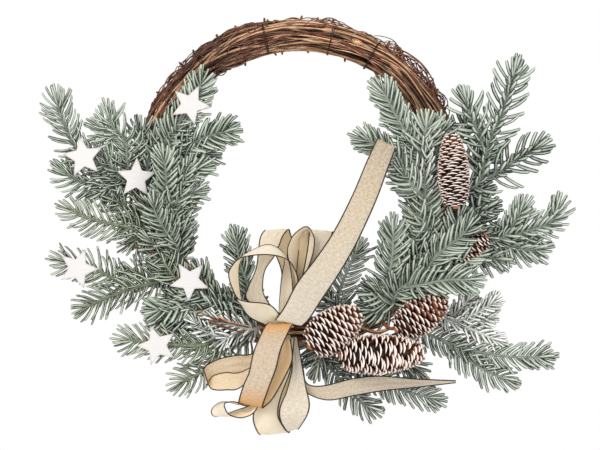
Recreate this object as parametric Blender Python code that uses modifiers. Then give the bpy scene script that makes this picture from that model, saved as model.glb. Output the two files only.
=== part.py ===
"""A half-dressed Christmas wreath to hang on a wall.

A ring of twisted vine twigs carries fir sprays with moulded needles, five pine cones, six white
wooden stars and a bow of wired ribbon. Its top is bare, and there the ring hangs on its hook.

Every place in the tables below is in millimetres from the centre of the ring: x to the right, y
away from the viewer towards the wall, z up. The part's own origin is where the ring rests on its
hook, at the top of the ring's hole.
"""

import math
import random

import bmesh
import bpy
from mathutils import Matrix, Vector
from mathutils.bvhtree import BVHTree

MM = 0.001
GAP = 0.35  # left between two pieces that touch
SEED = 24

# Vine ring
RING_RADIUS = 157.5  # to the middle of the bundle of twigs
TUBE_RADIUS = 17.0  # of the bundle, out to the crests of its twigs
GROOVE_DEPTH = 2.6  # between two twigs
STRANDS = 8  # twigs that show round the bundle
STRAND_SHIFT = 3  # strands that the bundle twists by on its way round
RING_STEPS = 42
SWELL = 0.9  # how far the bundle's thickness wanders
TWIG_RADIUS = 1.5
# Twigs that bow off the ring: first and last turn in degrees, radius at the middle, y there.
LOOSE_TWIGS = (
    (22, 66, 178.5, -3),
    (130, 152, 177.5, -5),
    (80, 98, 177.0, 4),
    (105, 126, 139.5, -7),
    (40, 60, 140.0, -4),
)
WIRE_RADIUS = 0.6
WIRE_STEPS = (7, 9, 12, 15, 18)  # the steps of the ring that a turn of wire binds

HOOK_SEAT = RING_RADIUS - TUBE_RADIUS - SWELL - GAP  # height of the hook above the ring's centre

# Fir sprays
STEM_RADIUS = 2.1
STEM_TIP_RADIUS = 1.7
NEEDLE_LENGTH = 18.0
NEEDLE_RADIUS = 1.25
NEEDLE_STEP = 5.9  # along a twig, from one needle to the next
TIP_NEEDLES = 3
BARE_START = 9.0  # of each twig, with no needles
TUFT_REACH = 13.0  # from the end of a twig's wood to the tips of its last needles
GOLDEN_ANGLE = math.radians(137.5)
WALL_Y = 17.5

# Each spray's twigs, from root to the tips of the last needles. The first twig starts inside the
# ring, and the rest on one before.
SPRAYS = {
    "fir_spray_top_left": (
        ((-152, -8, 10), (-146, -22, 28), (-140, -28, 45), (-119, -32, 72), (-104, -34, 98),
         (-100, -36, 119)),
        ((-148, -17, 21), (-132, -24, 21), (-116, -29, 34), (-86, -32, 48), (-59, -32, 53)),
    ),
    "fir_spray_upper_left": (
        ((-158, -8, -6), (-176, -20, 3), (-230, -30, 35), (-239, -30, 52), (-247, -30, 72),
         (-261, -30, 95)),
        ((-176, -20, 3), (-180, -28, 24), (-182, -31, 45), (-196, -33, 61), (-198, -34, 85)),
        ((-182, -31, 45), (-202, -30, 54), (-219, -28, 66)),
        ((-176, -20, 3), (-193, -22, -5), (-216, -24, 0), (-239, -26, 6), (-256, -27, 21)),
    ),
    "fir_spray_mid_left": (
        ((-150, -8, -56), (-162, -22, -53), (-179, -30, -47), (-217, -34, -38), (-251, -34, -24)),
        ((-162, -22, -53), (-176, -28, -64), (-200, -30, -74)),
    ),
    "fir_spray_lower_left": (
        ((-130, -8, -96), (-145, -22, -103), (-179, -32, -113), (-199, -33, -120), (-236, -32, -137)),
        ((-162, -27, -108), (-182, -29, -107), (-213, -30, -91), (-242, -30, -84), (-259, -30, -76)),
    ),
    "fir_spray_inner_left": (
        ((-126, -8, -88), (-122, -22, -70), (-123, -28, -51), (-118, -30, -30), (-116, -30, -13)),
        ((-123, -28, -51), (-132, -34, -32), (-118, -38, -14), (-91, -38, -2)),
        ((-132, -34, -32), (-133, -36, -8), (-112, -36, 10), (-84, -35, 27)),
        ((-122, -22, -70), (-138, -36, -52), (-150, -46, -30), (-153, -52, -12)),
    ),
    "fir_spray_short_left": (
        ((-100, -8, -122), (-112, -22, -125), (-134, -28, -132), (-162, -29, -135)),
    ),
    "fir_spray_bottom_left": (
        ((-66, -8, -143), (-80, -22, -160), (-103, -28, -171), (-134, -30, -170), (-193, -30, -164)),
        ((-80, -22, -160), (-84, -24, -178), (-97, -26, -196), (-120, -27, -209), (-134, -27, -216)),
    ),
    "frosted_spray_left": (
        ((-38, -8, -153), (-50, -26, -154), (-75, -31, -148), (-99, -32, -140)),
    ),
    "fir_spray_by_bow": (
        ((-48, -8, -146), (-50, -22, -130), (-53, -24, -107), (-61, -26, -85), (-67, -28, -47)),
    ),
    "fir_spray_inner_right": (
        ((140, -8, -70), (135, -24, -48), (134, -32, -5), (131, -33, 23), (110, -34, 61), (83, -34, 111)),
        ((131, -33, 23), (134, -38, 50), (137, -40, 75)),
        ((134, -32, -5), (112, -36, 18), (79, -38, 40), (55, -38, 47)),
        ((134, -29, -24), (118, -36, -20), (101, -38, -7), (92, -39, 12)),
    ),
    "fir_spray_upper_right": (
        ((162, -8, -16), (178, -18, -8), (192, -22, 3), (199, -25, 38), (212, -27, 75), (229, -28, 127)),
        ((198, -24, 30), (189, -27, 56), (182, -28, 70), (171, -28, 100)),
        ((192, -22, 3), (215, -25, 13), (229, -26, 24), (264, -27, 44)),
    ),
    "fir_spray_mid_right": (
        ((157, -4, -46), (180, -6, -50), (209, -10, -58), (241, -20, -53), (262, -24, -45),
         (282, -24, -30)),
        ((209, -10, -58), (220, -17, -48), (235, -22, -36), (249, -24, -23)),
        ((209, -10, -58), (225, -14, -70), (240, -18, -75), (266, -20, -72)),
    ),
    "fir_spray_low_right": (
        ((98, -8, -122), (103, -24, -115), (133, -38, -93), (146, -40, -76), (175, -38, -52),
         (181, -36, -34)),
        ((110, -27, -110), (128, -42, -108), (155, -45, -102), (194, -42, -102)),
        ((101, -17, -118), (94, -26, -101), (97, -32, -78), (98, -33, -32)),
    ),
    "frosted_spray_right": (
        ((124, -4, -104), (134, -6, -120), (150, -12, -138), (165, -18, -146), (197, -28, -132),
         (210, -30, -118)),
        ((165, -18, -146), (185, -24, -152), (203, -28, -158), (218, -28, -165)),
    ),
    "fir_spray_lower_right": (
        ((104, -4, -126), (114, -6, -142), (130, -8, -156), (175, -20, -174), (221, -27, -183),
         (270, -28, -183)),
        ((150, -14, -164), (177, -20, -184), (201, -24, -200), (235, -26, -214)),
    ),
    "fir_spray_bottom_right": (
        ((34, -4, -158), (42, -8, -178), (60, -16, -193), (103, -25, -220), (153, -26, -233)),
        ((38, -6, -168), (27, -14, -184), (38, -19, -200), (66, -24, -231), (88, -25, -241)),
    ),
    "fir_spray_by_tail": (
        ((48, -8, -148), (44, -20, -128), (48, -24, -108), (60, -28, -83), (73, -30, -54)),
    ),
}

# Pine cones: middle of the base, tip, widest radius, and the stalk's points back into the ring.
CONES = {
    "pine_cone_upright": (
        (166, -46, -25), (157, -46, 50), 18, ((166, -32, -32), (160, -6, -34)),
    ),
    "pine_cone_by_bow": (
        (14, -48, -171), (65, -46, -136), 19, ((20, -34, -166), (22, -6, -158)),
    ),
    "pine_cone_middle": (
        (105, -40, -155), (156, -38, -123), 17, ((94, -32, -152), (86, -14, -138), (84, -6, -131)),
    ),
    "pine_cone_lowest": (
        (46, -50, -182), (131, -50, -178), 18, ((50, -34, -176), (56, -14, -160), (58, -5, -150)),
    ),
    "pine_cone_hidden": (
        (193, -26, -67), (162, -28, -91), 13, ((188, -14, -75), (172, -7, -69), (160, -4, -62)),
    ),
}
CONE_ROWS = 12
CONE_COLUMNS = 12
SCALE_DEPTH = 0.2  # of the radius, from a scale's lip to the groove beside it
STALK_RADIUS = 2.4

# Stars: x of the middle, the y that needles keep behind, z of the middle, one point's angle in degrees.
STARS = {
    "star_top": (-113, -37, 82, 66),
    "star_outer": (-225.5, -35, 27, 99),
    "star_inner": (-170, -34, 5, 88),
    "star_low_inner": (-114, -34, -103, 51),
    "star_low_outer": (-231, -35, -90, 70),
    "star_bottom": (-148, -35, -171, 108),
}
STAR_RADIUS = 22.0
STAR_WAIST = 10.0  # radius at the inner corners
STAR_THICKNESS = 4.0

# Ribbon bow: each strip's two edges, from the knot and back to it or to the ribbon's cut end.
RIBBON_THICKNESS = 0.9
RIBBON_STEPS = 1  # rows from one pair of points to the next
KNOT = (-16, -35, -152)
KNOT_RADII = (13, 21, 11)  # deep enough to bear on the front of the ring
BOW = {
    "round_loop": (
        ((-14, -46, -146), (-29, -60, -128), (-54, -66, -124), (-64, -68, -119), (-72, -69, -98),
         (-68, -69, -86), (-58, -69, -78), (-35, -68, -75), (-16, -62, -78), (-6, -54, -86),
         (0, -49, -103), (-6, -47, -119), (-12, -44, -142)),
        ((-14, -34, -156), (-39, -42, -147), (-53, -46, -138), (-59, -48, -124), (-62, -50, -102),
         (-61, -50, -84), (-53, -49, -74), (-33, -47, -65), (-19, -42, -70), (-14, -36, -81),
         (-17, -32, -98), (-19, -30, -119), (-20, -30, -140)),
    ),
    "left_loop": (
        ((-26, -40, -148), (-53, -41, -123), (-53, -41, -112), (-49, -41, -102), (-44, -41, -90),
         (-42, -41, -77), (-41, -40, -66), (-39, -38, -56), (-34, -34, -50), (-32, -27, -58),
         (-18, -24, -90), (-17, -24, -118), (-20, -26, -142)),
        ((-12, -38, -142), (-26, -40, -132), (-36, -40, -117), (-37, -40, -103), (-34, -40, -90),
         (-25, -40, -77), (-20, -39, -66), (-16, -37, -56), (-10, -33, -49), (-7, -26, -57),
         (3, -23, -88), (4, -23, -116), (-8, -26, -142)),
    ),
    "middle_loop": (
        ((-12, -44, -142), (-6, -50, -118), (-7, -53, -95), (-11, -53, -74), (-9, -51, -63),
         (-3, -51, -53), (9, -50, -46), (16, -49, -55), (17, -49, -64), (15, -50, -76), (10, -51, -90),
         (1, -50, -104), (-8, -44, -140)),
        ((-12, -30, -142), (-5, -30, -118), (-2, -30, -95), (0, -30, -76), (2, -29, -64), (4, -29, -56),
         (9, -28, -52), (12, -28, -58), (13, -28, -68), (11, -29, -80), (7, -30, -94), (2, -30, -108),
         (-6, -30, -140)),
    ),
    "right_loop": (
        ((-6, -42, -140), (4, -45, -100), (10, -44, -70), (12, -38, -49), (12, -29, -58), (6, -25, -95),
         (-6, -26, -138)),
        ((8, -40, -142), (24, -43, -108), (33, -42, -76), (36, -36, -52), (36, -28, -62), (28, -24, -100),
         (6, -26, -140)),
    ),
    "long_tail": (
        ((-24, -52, -144), (-14, -55, -130), (-1, -58, -105), (18, -60, -80), (37, -61, -52),
         (57, -61, -13), (71, -60, 20), (83, -58, 46)),
        ((4, -50, -150), (12, -53, -142), (25, -56, -122), (41, -59, -98), (60, -60, -65), (80, -60, -22),
         (92, -59, 10), (102, -57, 37)),
    ),
    "front_loop": (
        ((-34, -50, -154), (-46, -58, -176), (-51, -62, -198), (-57, -62, -212), (-62, -58, -229),
         (-60, -50, -231), (-50, -43, -222), (-36, -38, -200), (-29, -36, -182), (-24, -36, -164)),
        ((-8, -50, -152), (-18, -59, -174), (-23, -62, -194), (-29, -62, -210), (-37, -59, -233),
         (-35, -54, -234), (-26, -49, -225), (-12, -45, -200), (-6, -42, -184), (-8, -40, -164)),
    ),
    "curled_loop": (
        ((-42, -56, -222), (-52, -58, -233), (-65, -60, -229), (-76, -60, -230), (-76, -60, -236),
         (-72, -60, -242), (-64, -60, -245), (-56, -59, -245), (-46, -57, -240), (-38, -54, -226)),
        ((-46, -47, -219), (-58, -42, -231), (-78, -39, -230), (-87, -38, -234), (-91, -38, -241),
         (-89, -38, -247), (-80, -38, -248), (-66, -38, -246), (-50, -42, -241), (-41, -47, -222)),
    ),
    "side_loop": (
        ((-20, -40, -160), (-47, -36, -179), (-63, -38, -181), (-80, -40, -184), (-92, -44, -189),
         (-98, -50, -194), (-97, -57, -200), (-92, -64, -213), (-86, -66, -216), (-75, -66, -216),
         (-59, -62, -213), (-28, -46, -185)),
        ((-22, -38, -175), (-47, -35, -200), (-63, -35, -202), (-78, -36, -205), (-88, -38, -208),
         (-94, -40, -211), (-96, -43, -212), (-93, -46, -210), (-88, -47, -206), (-76, -46, -204),
         (-58, -43, -203), (-26, -40, -178)),
    ),
    "low_loop": (
        ((-20, -34, -165), (-30, -38, -200), (-42, -43, -228), (-47, -48, -245), (-44, -46, -258),
         (-39, -38, -264), (-36, -28, -250), (-30, -25, -225), (-22, -25, -190), (-20, -27, -168)),
        ((-4, -34, -163), (-8, -38, -196), (-18, -43, -224), (-21, -48, -243), (-15, -46, -256),
         (-9, -38, -262), (-10, -28, -248), (-6, -25, -222), (-2, -25, -188), (-6, -27, -166)),
    ),
    "drop_loop": (
        ((-12, -32, -164), (-6, -34, -190), (-11, -46, -216), (-19, -56, -236), (-18, -57, -249),
         (-11, -50, -260), (-15, -37, -248), (-9, -31, -220), (-6, -28, -190), (-12, -28, -166)),
        ((-1, -32, -162), (4, -34, -192), (8, -46, -213), (12, -56, -231), (9, -57, -244), (0, -50, -258),
         (8, -37, -244), (8, -31, -218), (4, -28, -188), (-4, -28, -164)),
    ),
    "pointed_tail": (
        ((-8, -28, -160), (2, -28, -180), (5, -30, -200), (11, -34, -212), (28, -38, -213),
         (56, -40, -206), (85, -40, -203), (123, -37, -206), (166, -34, -208)),
        ((-18, -28, -162), (-9, -28, -184), (-3, -30, -206), (8, -34, -220), (31, -38, -228),
         (60, -40, -223), (90, -40, -218), (123, -37, -215), (166, -34, -210)),
    ),
}


def place(point):
    """A point of the tables, in metres from the part's origin."""
    x, y, z = point
    return Vector((x, y, z - HOOK_SEAT)) * MM


def material(name, colour, roughness, metallic=0.0):
    """A Principled material of one colour (linear red, green, blue)."""
    made = bpy.data.materials.new(name)
    made.use_nodes = True
    shader = made.node_tree.nodes["Principled BSDF"]
    shader.inputs["Base Color"].default_value = (*colour, 1)
    shader.inputs["Roughness"].default_value = roughness
    shader.inputs["Metallic"].default_value = metallic
    made.diffuse_color = (*colour, 1)
    return made


def mesh_object(name, form):
    """A linked object that takes its mesh from a bmesh, whose faces are turned outwards."""
    bmesh.ops.recalc_face_normals(form, faces=form.faces)
    mesh = bpy.data.meshes.new(name)
    form.to_mesh(mesh)
    form.free()
    made = bpy.data.objects.new(name, mesh)
    bpy.context.scene.collection.objects.link(made)
    return made


def evaluated_mesh(source):
    """The mesh of an object as its modifiers or its bevel leave it."""
    bpy.context.view_layer.update()
    graph = bpy.context.evaluated_depsgraph_get()
    return bpy.data.meshes.new_from_object(source.evaluated_get(graph))


def grid_object(name, rows, wrap_rows=0, close_rows=False):
    """A skin over rows of points, each row closed on itself.

    With close_rows the last row meets the first, shifted by wrap_rows points. Without it, each
    end row is capped by one face.
    """
    form = bmesh.new()
    made = [[form.verts.new(point) for point in row] for row in rows]
    count = len(rows[0])
    for i in range(len(made) - (0 if close_rows else 1)):
        last = i == len(made) - 1
        first, second = made[i], made[(i + 1) % len(made)]
        shift = wrap_rows if last else 0
        for j in range(count):
            k = (j + 1) % count
            ahead, after = second[(j + shift) % count], second[(k + shift) % count]
            form.faces.new((first[j], first[k], after, ahead))
    if not close_rows:
        form.faces.new(made[0])
        form.faces.new(made[-1])
    return mesh_object(name, form)


def tube(name, points, radii, closed=False):
    """A four-sided bar along points in metres, as a mesh."""
    curve = bpy.data.curves.new(name, "CURVE")
    curve.dimensions = "3D"
    curve.bevel_depth = MM
    curve.bevel_resolution = 0
    curve.use_fill_caps = True
    spline = curve.splines.new("POLY")
    spline.points.add(len(points) - 1)
    spline.use_cyclic_u = closed
    for end, point, radius in zip(spline.points, points, radii):
        end.co = (*point, 1)
        end.radius = radius
    guide = bpy.data.objects.new(name, curve)
    bpy.context.scene.collection.objects.link(guide)
    form = bmesh.new()
    form.from_mesh(evaluated_mesh(guide))
    bmesh.ops.remove_doubles(form, verts=form.verts, dist=0.00001)
    bpy.data.objects.remove(guide)
    return mesh_object(name, form)


def largest_body(mesh):
    """Keeps the biggest connected body of a mesh and drops loose scraps."""
    form = bmesh.new()
    form.from_mesh(mesh)
    left, best = set(form.faces), []
    while left:
        body, border = [], [left.pop()]
        while border:
            face = border.pop()
            body.append(face)
            for other in {other for edge in face.edges for other in edge.link_faces}:
                if other in left:
                    left.remove(other)
                    border.append(other)
        best = max(best, body, key=len)
    keep = set(best)
    bmesh.ops.delete(form, geom=[face for face in form.faces if face not in keep], context="FACES")
    form.to_mesh(mesh)
    form.free()


def boolean(host, others, operation):
    """Joins others to the host, or cuts them from it, in one step, and removes them."""
    group = bpy.data.collections.new("joined")
    bpy.context.scene.collection.children.link(group)
    for other in others:
        group.objects.link(other)
    modifier = host.modifiers.new("join", "BOOLEAN")
    modifier.operation = operation
    modifier.operand_type = "COLLECTION"
    modifier.collection = group
    modifier.solver = "MANIFOLD"
    mesh = evaluated_mesh(host)
    host.modifiers.clear()
    host.data = mesh
    for other in others:
        bpy.data.objects.remove(other)
    bpy.data.collections.remove(group)
    return host


def ring_radius(turn, around, crest):
    """Radius of the bundle of twigs, in millimetres, at a turn of the ring and round its tube."""
    wander = math.sin(7 * turn + 2 * around) + math.sin(11 * turn - 3 * around + 1)
    return TUBE_RADIUS + SWELL * wander / 2 - (0 if crest else GROOVE_DEPTH)


def ring_row(step, grow=0.0):
    """One cross-section of the ring, in metres: crests and grooves in turn, slowly twisting."""
    turn = 2 * math.pi * step / RING_STEPS
    twist = 2 * math.pi * STRAND_SHIFT / STRANDS * step / RING_STEPS
    outward = Vector((math.cos(turn), 0, math.sin(turn)))
    middle = outward * RING_RADIUS
    row = []
    for j in range(2 * STRANDS):
        around = math.pi * j / STRANDS + twist
        radius = ring_radius(turn, around, j % 2 == 0) + grow
        offset = outward * math.cos(around) + Vector((0, -1, 0)) * math.sin(around)
        row.append(place(middle + offset * radius))
    return row


def ring_body(name, grow=0.0):
    """The bundle of twigs as one closed skin, thicker all round by grow millimetres."""
    rows = [ring_row(step, grow) for step in range(RING_STEPS)]
    return grid_object(name, rows, wrap_rows=2 * STRAND_SHIFT, close_rows=True)


def loose_twig(first, last, radius, y, grow=0.0):
    """A twig that leaves the ring, bows off it and returns."""
    points = []
    steps = 7
    for i in range(steps + 1):
        share = i / steps
        turn = math.radians(first + (last - first) * share)
        reach = RING_RADIUS + (radius - RING_RADIUS) * math.sin(math.pi * share) ** 0.5
        points.append(place((reach * math.cos(turn), y, reach * math.sin(turn))))
    return tube("twig", points, [TWIG_RADIUS + grow] * len(points))


def make_ring():
    """The vine ring with the twigs that bow off it."""
    twigs = [loose_twig(*values) for values in LOOSE_TWIGS]
    return boolean(ring_body("vine_ring"), twigs, "UNION")


def ring_clearance():
    """The ring grown by the gap, to cut from whatever is pushed in among its twigs."""
    twigs = [loose_twig(*values, grow=GAP) for values in LOOSE_TWIGS]
    return boolean(ring_body("ring_clearance", GAP), twigs, "UNION")


def make_wire(number, step):
    """One turn of binding wire, pulled tight over the crests of the twigs."""
    row = ring_row(step, GAP + WIRE_RADIUS)[::2]
    return tube(f"binding_wire_{number}", row, [WIRE_RADIUS] * len(row), closed=True)


def cone_rows(length, radius):
    """Rows of points of a pine cone that stands on its base: a lip and a groove by turns."""
    rows = []
    for i in range(CONE_ROWS + 1):
        share = i / CONE_ROWS
        outline = math.sin(math.pi * (0.06 + 0.89 * share ** 0.85)) ** 0.62
        row = []
        for j in range(CONE_COLUMNS):
            lip = (i + j) % 2 == 0 and 0 < i < CONE_ROWS
            reach = radius * outline * (1.0 if lip else 1 - SCALE_DEPTH)
            height = length * (share + (0.35 / CONE_ROWS if lip else 0))
            angle = 2 * math.pi * j / CONE_COLUMNS
            row.append(Vector((reach * math.cos(angle), reach * math.sin(angle), height)) * MM)
        rows.append(row)
    return rows


def make_cone(name, base, tip, radius, stalk, clearance):
    """A pine cone on its stalk, whose end is pushed in among the twigs of the ring."""
    foot, axis = place(base), place(tip) - place(base)
    body = grid_object(name, cone_rows(axis.length / MM, radius))
    body.data.transform(Matrix.Translation(foot) @ axis.to_track_quat("Z", "Y").to_matrix().to_4x4())
    points = [foot + axis * 0.12] + [place(point) for point in stalk]
    boolean(body, [tube("stalk", points, [STALK_RADIUS] * len(points))], "UNION")
    return clear_of_ring(body, clearance)


def clear_of_ring(body, clearance):
    """Cuts the ring, grown by the gap, from a piece that is pushed in among its twigs."""
    cutter = clearance.copy()
    boolean(body, [cutter], "DIFFERENCE")
    largest_body(body.data)
    return body


def smooth(points, steps):
    """Points in metres on a smooth curve through the given ones."""
    path = [place(point) for point in points]
    ends = [2 * path[0] - path[1]] + path + [2 * path[-1] - path[-2]]
    found = []
    for i in range(1, len(ends) - 2):
        a, b, c, d = ends[i - 1:i + 3]
        for k in range(steps):
            t = k / steps
            found.append(0.5 * (2 * b + (c - a) * t + (2 * a - 5 * b + 4 * c - d) * t ** 2
                                + (3 * b - a - 3 * c + d) * t ** 3))
    return found + [path[-1]]


def ribbon_strip(name, edge, other_edge):
    """A thin strip between two smooth edges."""
    form = bmesh.new()
    first = [form.verts.new(point) for point in smooth(edge, RIBBON_STEPS)]
    second = [form.verts.new(point) for point in smooth(other_edge, RIBBON_STEPS)]
    for i in range(len(first) - 1):
        form.faces.new((first[i], first[i + 1], second[i + 1], second[i]))
    bmesh.ops.triangulate(form, faces=form.faces)
    strip = mesh_object(name, form)
    solid = strip.modifiers.new("thickness", "SOLIDIFY")
    solid.thickness = RIBBON_THICKNESS * MM
    solid.offset = 0
    strip.data = evaluated_mesh(strip)
    strip.modifiers.clear()
    return strip


def make_bow(clearance):
    """The ribbon bow: loops and tails gathered in a knot that sits on the front of the ring."""
    form = bmesh.new()
    bmesh.ops.create_uvsphere(form, u_segments=10, v_segments=7, radius=MM)
    bmesh.ops.scale(form, vec=KNOT_RADII, verts=form.verts)
    bmesh.ops.translate(form, vec=place(KNOT), verts=form.verts)
    knot = mesh_object("ribbon_bow", form)
    strips = [ribbon_strip(name, *edges) for name, edges in BOW.items()]
    return clear_of_ring(boolean(knot, strips, "UNION"), clearance)


def star_outline(x, z, point_angle, grow=0.0):
    """The ten corners of a star, in millimetres, each pushed out by grow."""
    corners = []
    for i in range(10):
        radius = (STAR_RADIUS if i % 2 == 0 else STAR_WAIST) + grow
        angle = math.radians(point_angle + 36 * i)
        corners.append((x + radius * math.cos(angle), z + radius * math.sin(angle)))
    return corners


def star_prism(name, corners, back, front):
    """A star-shaped plate between two values of y."""
    form = bmesh.new()
    face = form.faces.new([form.verts.new(place((x, back, z))) for x, z in corners])
    raised = bmesh.ops.extrude_face_region(form, geom=[face])["geom"]
    moved = [item for item in raised if isinstance(item, bmesh.types.BMVert)]
    bmesh.ops.translate(form, vec=(0, (front - back) * MM, 0), verts=moved)
    return mesh_object(name, form)


def tree_of(body):
    """A search tree over an object's surface."""
    graph = bpy.context.evaluated_depsgraph_get()
    return BVHTree.FromObject(body, graph)


def is_inside(tree, point):
    """Whether a point lies within a closed surface: a line from it crosses that an odd count of times."""
    forward = Vector((0.13, -0.98, 0.11))
    crossings = 0
    spot = tree.ray_cast(point, forward)[0]
    while spot and crossings < 20:
        crossings += 1
        spot = tree.ray_cast(spot + forward * 0.00002, forward)[0]
    return crossings % 2 == 1


class Crowd:
    """What stands near the needles: solid bodies, and the bars of every spray."""

    def __init__(self, solids):
        self.trees = [tree_of(body) for body in solids]
        self.bars = []

    def add(self, owner, start, end, radius, end_radius):
        """Notes a bar of a spray, in metres, with its radii in millimetres."""
        along = end - start
        self.bars.append((owner, start, along, along.length_squared, radius * MM, end_radius * MM))

    def is_clear(self, owner, start, end, radius):
        """Whether a needle keeps the gap to all that isn't its own spray."""
        samples = 7
        reach = (end - start).length + 0.03
        others = [bar for bar in self.bars if bar[0] != owner]
        near = [bar for bar in others if (bar[1] - start).length < reach + bar[3] ** 0.5]
        for i in range(samples):
            share = 0.1 + 0.9 * i / (samples - 1)
            point = start.lerp(end, share)
            thick = radius * MM * (1 - share) + (GAP + 0.05) * MM
            if point.y > (WALL_Y - 1) * MM:
                return False
            for tree in self.trees:
                if tree.find_nearest(point, thick)[0] or is_inside(tree, point):
                    return False
            for _, root, along, squared, wide, narrow in near:
                t = min(1, max(0, (point - root).dot(along) / squared))
                if (point - root - along * t).length < thick + wide + (narrow - wide) * t:
                    return False
        return True


def needle_mesh():
    """A three-sided needle of unit length and radius, rooted at the origin."""
    form = bmesh.new()
    bmesh.ops.create_cone(form, cap_ends=True, segments=3, radius1=1, radius2=0, depth=1)
    bmesh.ops.translate(form, vec=(0, 0, 0.5), verts=form.verts)
    mesh = bpy.data.meshes.new("needle")
    form.to_mesh(mesh)
    form.free()
    return mesh


def needle_object(mesh, root, tip):
    """A needle between two points."""
    made = bpy.data.objects.new("needle", mesh)
    turn = (tip - root).to_track_quat("Z", "Y").to_matrix().to_4x4()
    size = Matrix.Diagonal((NEEDLE_RADIUS * MM, NEEDLE_RADIUS * MM, (tip - root).length, 1))
    made.matrix_world = Matrix.Translation(root) @ turn @ size
    return made


def along_path(path, distance):
    """The point and the direction at a distance along a path in metres."""
    for start, end in zip(path, path[1:]):
        step = (end - start).length
        if distance <= step:
            return start.lerp(end, distance / step), (end - start) / step
        distance -= step
    return path[-1], (path[-1] - path[-2]).normalized()


def needle_ends(path, distance, azimuth, lean, length):
    """Root and tip of a needle that leaves a twig, both in metres."""
    root, forward = along_path(path, distance)
    side = forward.cross(Vector((0, 1, 0))).normalized()
    out = side * math.cos(azimuth) + forward.cross(side) * math.sin(azimuth)
    return root, root + (forward * math.cos(lean) + out * math.sin(lean)) * length * MM


def twig_needles(owner, path, crowd, dice):
    """The needles of one twig: a spiral along it and a tuft at its tip."""
    total = sum((b - a).length for a, b in zip(path, path[1:])) / MM
    found = []
    count = int((total - BARE_START) / NEEDLE_STEP)
    plan = [(BARE_START + i * NEEDLE_STEP, i * GOLDEN_ANGLE, 52 - 14 * i / count) for i in range(count)]
    plan += [(total - 1.5, i * math.tau / TIP_NEEDLES, 22) for i in range(TIP_NEEDLES)]
    plan += [(total - 2.5, 0, 4)]
    for distance, azimuth, lean in plan:
        azimuth += dice.uniform(-0.25, 0.25)
        length = NEEDLE_LENGTH * dice.uniform(0.9, 1.1)
        tries = [(turn, cut) for cut in (1, 0.72) for turn in (0, 0.4, -0.4, 0.8, -0.8, 1.4, -1.4)]
        for turn, cut in tries:
            root, tip = needle_ends(path, distance * MM, azimuth + turn, math.radians(lean), length * cut)
            if crowd.is_clear(owner, root, tip, NEEDLE_RADIUS):
                crowd.add(owner, root, tip, NEEDLE_RADIUS, 0)
                found.append((root, tip))
                break
    return found


def stem_radii(count):
    """Radii along a twig, from its root to its tip."""
    return [STEM_RADIUS + (STEM_TIP_RADIUS - STEM_RADIUS) * i / (count - 1) for i in range(count)]


def twig_path(points):
    """The wood of a twig, which ends where its last needles start."""
    path = [place(point) for point in points]
    path[-1] -= (path[-1] - path[-2]).normalized() * TUFT_REACH * MM
    return path


def note_stems(crowd):
    """Tells the crowd of every twig, so that no needle crosses one of another spray."""
    for name, twigs in SPRAYS.items():
        for points in twigs:
            path = twig_path(points)
            radii = stem_radii(len(path))
            for start, end, wide, narrow in zip(path, path[1:], radii, radii[1:]):
                crowd.add(name, start, end, wide, narrow)


def make_spray(name, twigs, crowd, clearance, mesh, dice):
    """A fir spray: its twigs and needles joined in one body, its root among the vine twigs."""
    paths = [twig_path(points) for points in twigs]
    stems = [tube(name, path, stem_radii(len(path))) for path in paths]
    pieces = stems[1:]
    for path in paths:
        for root, tip in twig_needles(name, path, crowd, dice):
            pieces.append(needle_object(mesh, root, tip))
    body = boolean(stems[0], pieces, "UNION")
    body.name = name
    return clear_of_ring(body, clearance)


def front_of(bodies, corners):
    """The least y, in millimetres, that any body reaches within an outline of corners."""
    outline = [Vector(corner) for corner in corners]
    low = Vector((min(p.x for p in outline), min(p.y for p in outline)))
    high = Vector((max(p.x for p in outline), max(p.y for p in outline)))

    def inside(x, z):
        crossings = 0
        for a, b in zip(outline, outline[1:] + outline[:1]):
            if (a.y > z) != (b.y > z) and x < a.x + (z - a.y) * (b.x - a.x) / (b.y - a.y):
                crossings += 1
        return crossings % 2 == 1

    found = []
    step = 0.5
    trees = [tree_of(body) for body in bodies]
    for i in range(int((high.x - low.x) / step) + 1):
        for j in range(int((high.y - low.y) / step) + 1):
            x, z = low.x + i * step, low.y + j * step
            if not inside(x, z):
                continue
            for tree in trees:
                spot = tree.ray_cast(place((x, -200, z)), Vector((0, 1, 0)))[0]
                if spot:
                    found.append(spot.y / MM)
    for body in bodies:
        for vertex in body.data.vertices:
            x, z = vertex.co.x / MM, vertex.co.z / MM + HOOK_SEAT
            if inside(x, z):
                found.append(vertex.co.y / MM)
    return min(found)


def make_star(name, x, z, point_angle, bodies):
    """A wooden star, laid on whatever stands furthest forward behind it."""
    back = front_of(bodies, star_outline(x, z, point_angle, 0.8)) - GAP
    return star_prism(name, star_outline(x, z, point_angle), back, back - STAR_THICKNESS)


def star_room(x, y, z, point_angle):
    """The room before a star's place that needles keep out of."""
    return star_prism("star_room", star_outline(x, z, point_angle, 1), y, -110)


def finish(body, finish_material, group):
    """Gives a piece its material and moves it to the wreath's collection."""
    body.data.materials.clear()
    body.data.materials.append(finish_material)
    bpy.context.scene.collection.objects.unlink(body)
    group.objects.link(body)


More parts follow.
